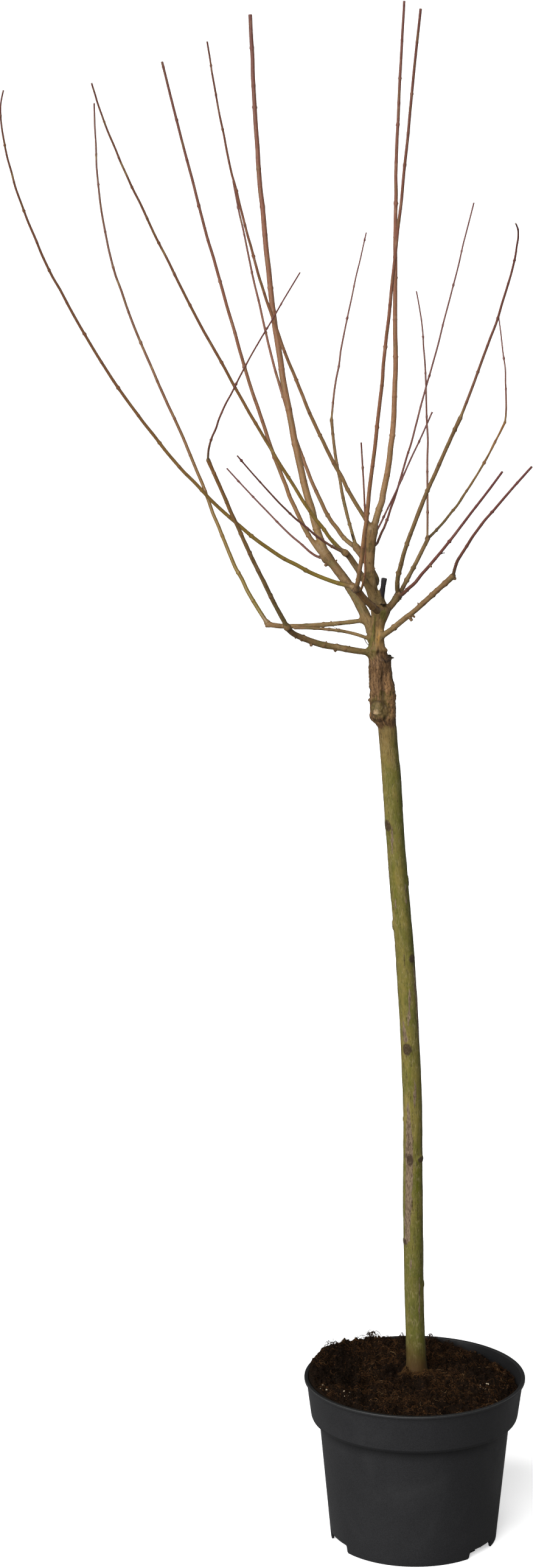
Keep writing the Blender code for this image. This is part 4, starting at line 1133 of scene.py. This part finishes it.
def makeFeet(material):  # short ribs under the floor, seen dark through the notches
    ribs, sides = pot["ribs"], 8
    turns = np.arange(ribs) * fullTurn / ribs + 0.06
    out = np.stack([np.cos(turns), np.sin(turns), 0 * turns], axis=-1)[:, None]
    along = np.stack([-np.sin(turns), np.cos(turns), 0 * turns], axis=-1)[:, None]
    corner = np.array([(-1, -1), (1, -1), (1, 1), (-1, 1)])
    middle = out * (pot["base"] - 0.0085) + along * corner[:, :1] * 0.0052 + out * corner[:, 1:] * 0.0011
    low = middle * (1, 1, 0) + (0, 0, 0.0016)
    high = middle * (1, 1, 0) + (0, 0, pot["floorHeight"] + 0.0002)
    points = np.concatenate([low, high], axis=1).reshape(-1, 3)
    block = np.array([(3, 2, 1, 0), (4, 5, 6, 7), (0, 1, 5, 4), (1, 2, 6, 5), (2, 3, 7, 6), (3, 0, 4, 7)])
    faces = (block[None] + sides * np.arange(ribs)[:, None, None]).reshape(-1, 4)
    addPiece("pot_ribs", points, faces.tolist(), material)


plastic = makePotMaterial()
makePot(plastic)
makeFeet(plastic)
print("pot done")

# compost
compost = dict(
    atTrunk=0.1762, lumpHeight=0.0016, leastDrop=0.0010, moreDrop=0.0165, lowSide=math.radians(12), lowPower=3,
    tufts=((-0.047, 0.097, 0.003), (-0.044, 0.098, 0.004), (-0.013, 0.101, 0.002), (0.021, 0.098, 0.003),
           (0.037, 0.094, 0.002), (-0.086, 0.058, 0.004)),  # x, y, spread
    stemSpots=((0.013, 0.012, 0.003), (0.000, 0.007, 0.003), (-0.010, 0.010, 0.003), (0.006, 0.007, 0.003)),
    pale=((-0.088, -0.045, 0.006), (-0.070, -0.060, 0.006), (-0.030, -0.055, 0.004), (0.070, -0.020, 0.004)),
    heap=0.0040, backHeap=0.0085, heapSide=math.radians(150), sides=400, rings=180, sole=0.0021, soleRadius=0.070, heel=0.013, gap=0.0003,
)


def edgeHeight(turn):  # heaped at the left, well under the rim at the right
    share = (0.5 + 0.5 * np.cos(turn - compost["lowSide"])) ** compost["lowPower"]
    return pot["height"] - compost["leastDrop"] - compost["moreDrop"] * share


def bedHeight(x, y):  # the solid's own mound, heaped along its high side, then clods with dark gaps between them
    far = np.hypot(x, y)
    share = np.minimum(1.0, far / pot["rim"]) ** 3
    lumps = np.sin(61 * x + 23 * y) * np.sin(47 * y - 31 * x + 1.3) + 0.6 * np.sin(131 * x + 3 * y)
    level = compost["atTrunk"] - compost["lumpHeight"]
    mound = level + (edgeHeight(np.arctan2(y, x)) - level) * share + compost["lumpHeight"] * lumps * (1 - share)
    high = (0.5 - 0.5 * np.cos(np.arctan2(y, x) - compost["lowSide"])) ** 2
    mound += compost["heap"] * high * bell(far, 0.092, 0.022)
    backSide = bell(turnGap(np.arctan2(y, x), compost["heapSide"]), 0, 0.9)
    mound += compost["backHeap"] * backSide * bell(far, 0.106, 0.014)
    stem = np.hypot(x - trunk["stations"][0][1], y - trunk["footDepth"])
    mound += 0.0030 * bell(stem, 0.012, 0.006)  # drawn up round the stem
    place = np.stack([x, y, 0 * x], axis=-1)
    clods = 0.0064 * (0.34 - np.abs(cloudNoise(place * 58, 41))) + 0.0044 * (0.3 - np.abs(cloudNoise(place * 140, 42)))
    crumbs = 0.0020 * cloudNoise(place * 330, 43) + 0.0012 * cloudNoise(place * 800, 44)
    inner = ease(pot["rim"] - 0.001, pot["rim"] - 0.012, far)
    return mound + clods * (0.25 + 0.75 * inner) + crumbs * (0.4 + 0.6 * inner) - 0.0008 * (1 - inner)


def scatter(count, look, rng):  # places over the bed, closer together in some clumps, or about given spots
    if "near" in look:
        spots = np.array(look["near"])[rng.integers(0, len(look["near"]), count)]
        foot = spots[:, :2] + rng.normal(0, 1, (count, 2)) * spots[:, 2:3]
        far = np.hypot(*foot.T)[:, None]
        return foot * np.minimum(1.0, (pot["rim"] - 0.0065) / np.maximum(far, 1e-6))
    many = count * 4
    reach, turn = np.sqrt(rng.uniform(0.0, 1.0, many)) * (pot["rim"] - 0.0065), rng.uniform(0, fullTurn, many)
    foot = np.stack([reach * np.cos(turn), reach * np.sin(turn)], axis=-1)
    thick = np.clip(0.5 + cloudNoise(np.concatenate([foot, foot[:, :1] * 0], axis=1) * 42, look.get("clumps", 51)), 0.04, 1)
    return foot[rng.choice(many, count, replace=False, p=thick / thick.sum())]


def makeBed(material):
    turns = np.arange(compost["sides"]) * fullTurn / compost["sides"]
    around = np.stack([np.cos(turns), np.sin(turns)], axis=-1)
    flat = lambda radius, height: np.concatenate([around * radius, np.full((len(turns), 1), height)], axis=1)
    rings = [flat(compost["soleRadius"], compost["sole"] + 0.0105)]
    for height in (0.024, 0.07, *pot["innerStep"], 0.145):
        rings.append(flat(float(potWall(height)) - compost["gap"], height))
    edge = edgeHeight(turns)
    edgePlace = around * (potWall(edge) - compost["gap"])[:, None]
    edgeTop = np.minimum(bedHeight(edgePlace[:, 0], edgePlace[:, 1]), pot["height"] - 0.0005)
    rings.append(np.concatenate([edgePlace, edgeTop[:, None]], axis=1))
    middle = np.array([trunk["stations"][0][1], trunk["footDepth"]])
    shares = np.linspace(0.997, 0.05, compost["rings"])[:, None, None]
    places = middle + shares * (edgePlace - middle)
    top = bedHeight(places[..., 0], places[..., 1])
    grid = np.concatenate([np.array(rings), np.concatenate([places, top[..., None]], axis=-1)])
    addPiece("compost_bed", closedRings(grid), tubeFaces(len(grid), len(turns)), material, ["compost"])


def makePeatMaterial(name, dark, light, rough=0.9):
    material, tree, shader = newMaterial(name, rough, 0.04)
    place = addNode(tree, "TexCoord").outputs["Object"]
    grain = useGroup(tree, mouldGrain, {"Place": place, "Fineness": 1400.0})
    colour = mixOf(tree, spanOf(tree, grain["Grain"], 0.38, 0.66), dark, light)
    tree.links.new(colour, shader.inputs["Base Color"])
    bumpInto(tree, shader, grain["Grain"], 0.0006, 0.8)
    return material


def makeFibres(name, count, look, seed, material):  # arcs of three-sided tube that lie along the bed or stand off it
    rng = np.random.default_rng(seed)
    steps, sides = look.get("steps", 8), 3
    foot = scatter(count, look, rng)
    length = rng.uniform(*look["length"], count) * mm
    aim = rng.uniform(0, fullTurn, count)
    bend = rng.uniform(-1, 1, count) * look["curl"]
    t = np.linspace(0, 1, steps)[None, :]
    heading = aim[:, None] + bend[:, None] * (t - 0.5) + 0.5 * look["curl"] * np.sin(
        t * rng.uniform(2, 7, (count, 1)) + rng.uniform(0, 6, (count, 1))
    )
    stepLong = (length / (steps - 1))[:, None]
    along = np.cumsum(np.stack([np.cos(heading), np.sin(heading)], -1) * stepLong[..., None], axis=1)
    flat = foot[:, None, :] + along - along[:, steps // 2: steps // 2 + 1]
    limit = pot["rim"] - 0.0055
    far = np.hypot(flat[..., 0], flat[..., 1])
    flat = flat * np.minimum(1.0, limit / np.maximum(far, 1e-6))[..., None]
    rise = (rng.uniform(0, 1, count) ** look["lieDown"] * look["rise"] * mm)[:, None]
    tilt = rng.uniform(0, 1, (count, 1))
    up = rise * (np.sin(np.pi * t) * (1 - tilt) + tilt * t) + rng.uniform(-0.2, 0.7, (count, 1)) * mm
    line = np.concatenate([flat, (bedHeight(flat[..., 0], flat[..., 1]) * 0.5 + 0.5 * bedHeight(foot[:, 0], foot[:, 1])[:, None] + up)[..., None]], axis=-1)
    ahead = unit(np.gradient(line, axis=1))
    across = unit(np.cross(ahead, (0.12, 0.07, 1.0)))
    above = np.cross(ahead, across)
    thick = (rng.uniform(*look["thick"], count) * mm / 2)[:, None] * (1 - 0.75 * np.abs(2 * t - 1) ** 3)
    spin = np.arange(sides) * fullTurn / sides
    ring = np.cos(spin)[:, None] * across[:, :, None, :] + np.sin(spin)[:, None] * above[:, :, None, :]
    grid = line[:, :, None, :] + thick[..., None, None] * ring
    index = np.arange(count * steps * sides).reshape(count, steps, sides)
    after = np.roll(index, -1, axis=2)
    quads = np.stack([index[:, :-1], after[:, :-1], after[:, 1:], index[:, 1:]], axis=-1).reshape(-1, 4)
    ends = np.concatenate([index[:, 0, ::-1], index[:, -1]])
    addPiece(name, grid.reshape(-1, 3), quads.tolist() + ends.tolist(), material)


def makeCrumbs(name, count, look, seed, material):  # small lumps: one twelve-cornered ball, stretched and shaken
    rng = np.random.default_rng(seed)
    golden = (1 + 5**0.5) / 2
    ball = np.array([(-1, golden, 0), (1, golden, 0), (-1, -golden, 0), (1, -golden, 0), (0, -1, golden), (0, 1, golden),
                     (0, -1, -golden), (0, 1, -golden), (golden, 0, -1), (golden, 0, 1), (-golden, 0, -1), (-golden, 0, 1)])
    sheets = np.array([(0, 11, 5), (0, 5, 1), (0, 1, 7), (0, 7, 10), (0, 10, 11), (1, 5, 9), (5, 11, 4), (11, 10, 2),
                       (10, 7, 6), (7, 1, 8), (3, 9, 4), (3, 4, 2), (3, 2, 6), (3, 6, 8), (3, 8, 9), (4, 9, 5),
                       (2, 4, 11), (6, 2, 10), (8, 6, 7), (9, 8, 1)])
    foot = scatter(count, look, rng)
    size = rng.uniform(*look["size"], (count, 1)) * mm * rng.uniform(0.6, 1.3, (count, 3)) / 1.9 / 2
    corners = unit(ball)[None] * 1.9 * (1 + rng.uniform(-0.25, 0.25, (count, 12, 1)))
    spin = rng.uniform(0, fullTurn, count)
    c, s = np.cos(spin)[:, None], np.sin(spin)[:, None]
    shape = corners * size[:, None, :]
    turned = np.stack([shape[..., 0] * c - shape[..., 1] * s, shape[..., 0] * s + shape[..., 1] * c, shape[..., 2]], -1)
    middle = np.concatenate([foot, (bedHeight(foot[:, 0], foot[:, 1]) + 0.3 * size[:, 2])[:, None]], axis=1)
    points = (turned + middle[:, None, :]).reshape(-1, 3)
    faces = (sheets[None] + 12 * np.arange(count)[:, None, None]).reshape(-1, 3)
    addPiece(name, points, faces.tolist(), material)


makeBed(makePeatMaterial("peat", (0.0014, 0.0009, 0.0006), (0.0120, 0.0062, 0.0030)))
fibreLooks = {
    "fuzz_dark": (6500, dict(length=(3, 9), curl=3.4, lieDown=1.6, rise=3.6, thick=(0.16, 0.34), clumps=51, steps=5),
                  ((0.0042, 0.0024, 0.0014), (0.0170, 0.0090, 0.0045))),
    "fuzz_brown": (6500, dict(length=(3, 9), curl=3.6, lieDown=1.4, rise=4.2, thick=(0.13, 0.26), clumps=52, steps=5),
                   ((0.0160, 0.0082, 0.0038), (0.0560, 0.0270, 0.0115))),
    "fibres_rust": (1500, dict(length=(5, 15), curl=3.0, lieDown=1.5, rise=4.6, thick=(0.18, 0.34), clumps=52),
                    ((0.0380, 0.0170, 0.0065), (0.1150, 0.0520, 0.0185))),
    "fibres_straw": (150, dict(length=(4, 14), curl=2.0, lieDown=1.6, rise=4.0, thick=(0.20, 0.36), clumps=52),
                     ((0.110, 0.062, 0.026), (0.260, 0.160, 0.078))),
    "tufts": (110, dict(length=(4, 13), curl=0.7, lieDown=0.5, rise=9.0, thick=(0.45, 1.0), near=compost["tufts"]),
              ((0.0050, 0.0030, 0.0018), (0.0300, 0.0150, 0.0070))),
    "stem_fuzz": (420, dict(length=(3, 9), curl=2.6, lieDown=1.2, rise=3.5, thick=(0.16, 0.30), near=compost["stemSpots"]),
                  ((0.0380, 0.0190, 0.0070), (0.1250, 0.0640, 0.0230))),
}
for i, (fibreName, (count, look, colours)) in enumerate(fibreLooks.items()):
    makeFibres(fibreName, count, look, 101 + i, makePeatMaterial(fibreName.replace("fibres_", "fibre"), *colours, 0.75))
crumbLooks = {
    "crumbs_dark": (2600, dict(size=(1.0, 4.0)), ((0.0022, 0.0013, 0.0009), (0.0105, 0.0058, 0.0030))),
    "crumbs_brown": (1200, dict(size=(0.8, 2.6), clumps=53), ((0.014, 0.007, 0.0032), (0.050, 0.025, 0.011))),
    "crumbs_pale": (26, dict(size=(1.2, 2.6), near=compost["pale"]), ((0.20, 0.15, 0.09), (0.42, 0.36, 0.27))),
}
for i, (crumbName, (count, look, colours)) in enumerate(crumbLooks.items()):
    makeCrumbs(crumbName, count, look, 201 + i, makePeatMaterial(crumbName.replace("crumbs_", "crumb"), *colours))
print("compost done")


# stage, light and camera
studio = dict(
    camera=(-0.1545, -4.931, 2.137), lookDown=15, lens=116.08, floorHalf=32.0,
    sun=dict(place=(-1.9, -3.3, 3.1), strength=6.2, spread=60),  # a wide soft key from the upper left
    lights=(  # place, aim, size, watts
        ((-3.0, 1.2, 1.6), (-0.1, 0.0, 0.7), 1.8, 22.0),
        ((3.0, 1.2, 1.6), (-0.1, 0.0, 0.7), 1.8, 26.0),
    ),
    sky=0.14, bounce=0.22, glow=0.45,
)


def makeFloor():
    half = studio["floorHalf"]
    mesh = bpy.data.meshes.new("floor")
    mesh.from_pydata([(-half, -half, 0), (half, -half, 0), (half, half, 0), (-half, half, 0)], [], [(0, 1, 2, 3)])
    material, tree, shader = newMaterial("floorWhite", 0.8, 0.0)
    seen = addNode(tree, "LightPath").outputs["Is Camera Ray"]
    bounce = studio["bounce"]  # the floor throws back less than it shows, as a small cut-out sheet would
    tree.links.new(mixOf(tree, seen, (bounce,) * 3, (0.90,) * 3), shader.inputs["Base Color"])
    shader.inputs["Emission Color"].default_value = (1, 1, 1, 1)
    tree.links.new(mathOf(tree, "MULTIPLY", seen, studio["glow"]), shader.inputs["Emission Strength"])
    mesh.materials.append(material)
    floor = bpy.data.objects.new("floor", mesh)
    bpy.context.scene.collection.objects.link(floor)


def aimAt(thing, place, target):
    thing.location = place
    thing.rotation_euler = (Vector(target) - Vector(place)).to_track_quat("-Z", "Y").to_euler()


def makeStudio():
    scene = bpy.context.scene
    for i, (place, target, size, watts) in enumerate(studio["lights"]):
        lamp = bpy.data.lights.new(f"softLight{i + 1}", "AREA")
        lamp.size = size
        lamp.energy = watts
        light = bpy.data.objects.new(lamp.name, lamp)
        scene.collection.objects.link(light)
        aimAt(light, place, target)
    key = bpy.data.lights.new("keyLight", "SUN")
    key.energy, key.angle = studio["sun"]["strength"], math.radians(studio["sun"]["spread"])
    light = bpy.data.objects.new("keyLight", key)
    scene.collection.objects.link(light)
    aimAt(light, studio["sun"]["place"], (0, 0, 0.8))
    world = bpy.data.worlds.new("paleStudio")
    world.use_nodes = True
    world.node_tree.nodes["Background"].inputs["Color"].default_value = (1, 1, 1, 1)
    world.node_tree.nodes["Background"].inputs["Strength"].default_value = studio["sky"]
    scene.world = world
    lens = bpy.data.cameras.new("camera")
    lens.lens = studio["lens"]
    lens.clip_start, lens.clip_end = 0.1, 120
    camera = bpy.data.objects.new("camera", lens)
    scene.collection.objects.link(camera)
    camera.location = studio["camera"]
    camera.rotation_euler = (math.radians(90 - studio["lookDown"]), 0, 0)
    scene.camera = camera
    scene.view_settings.view_transform = "Standard"


makeFloor()
makeStudio()
print("studio done")
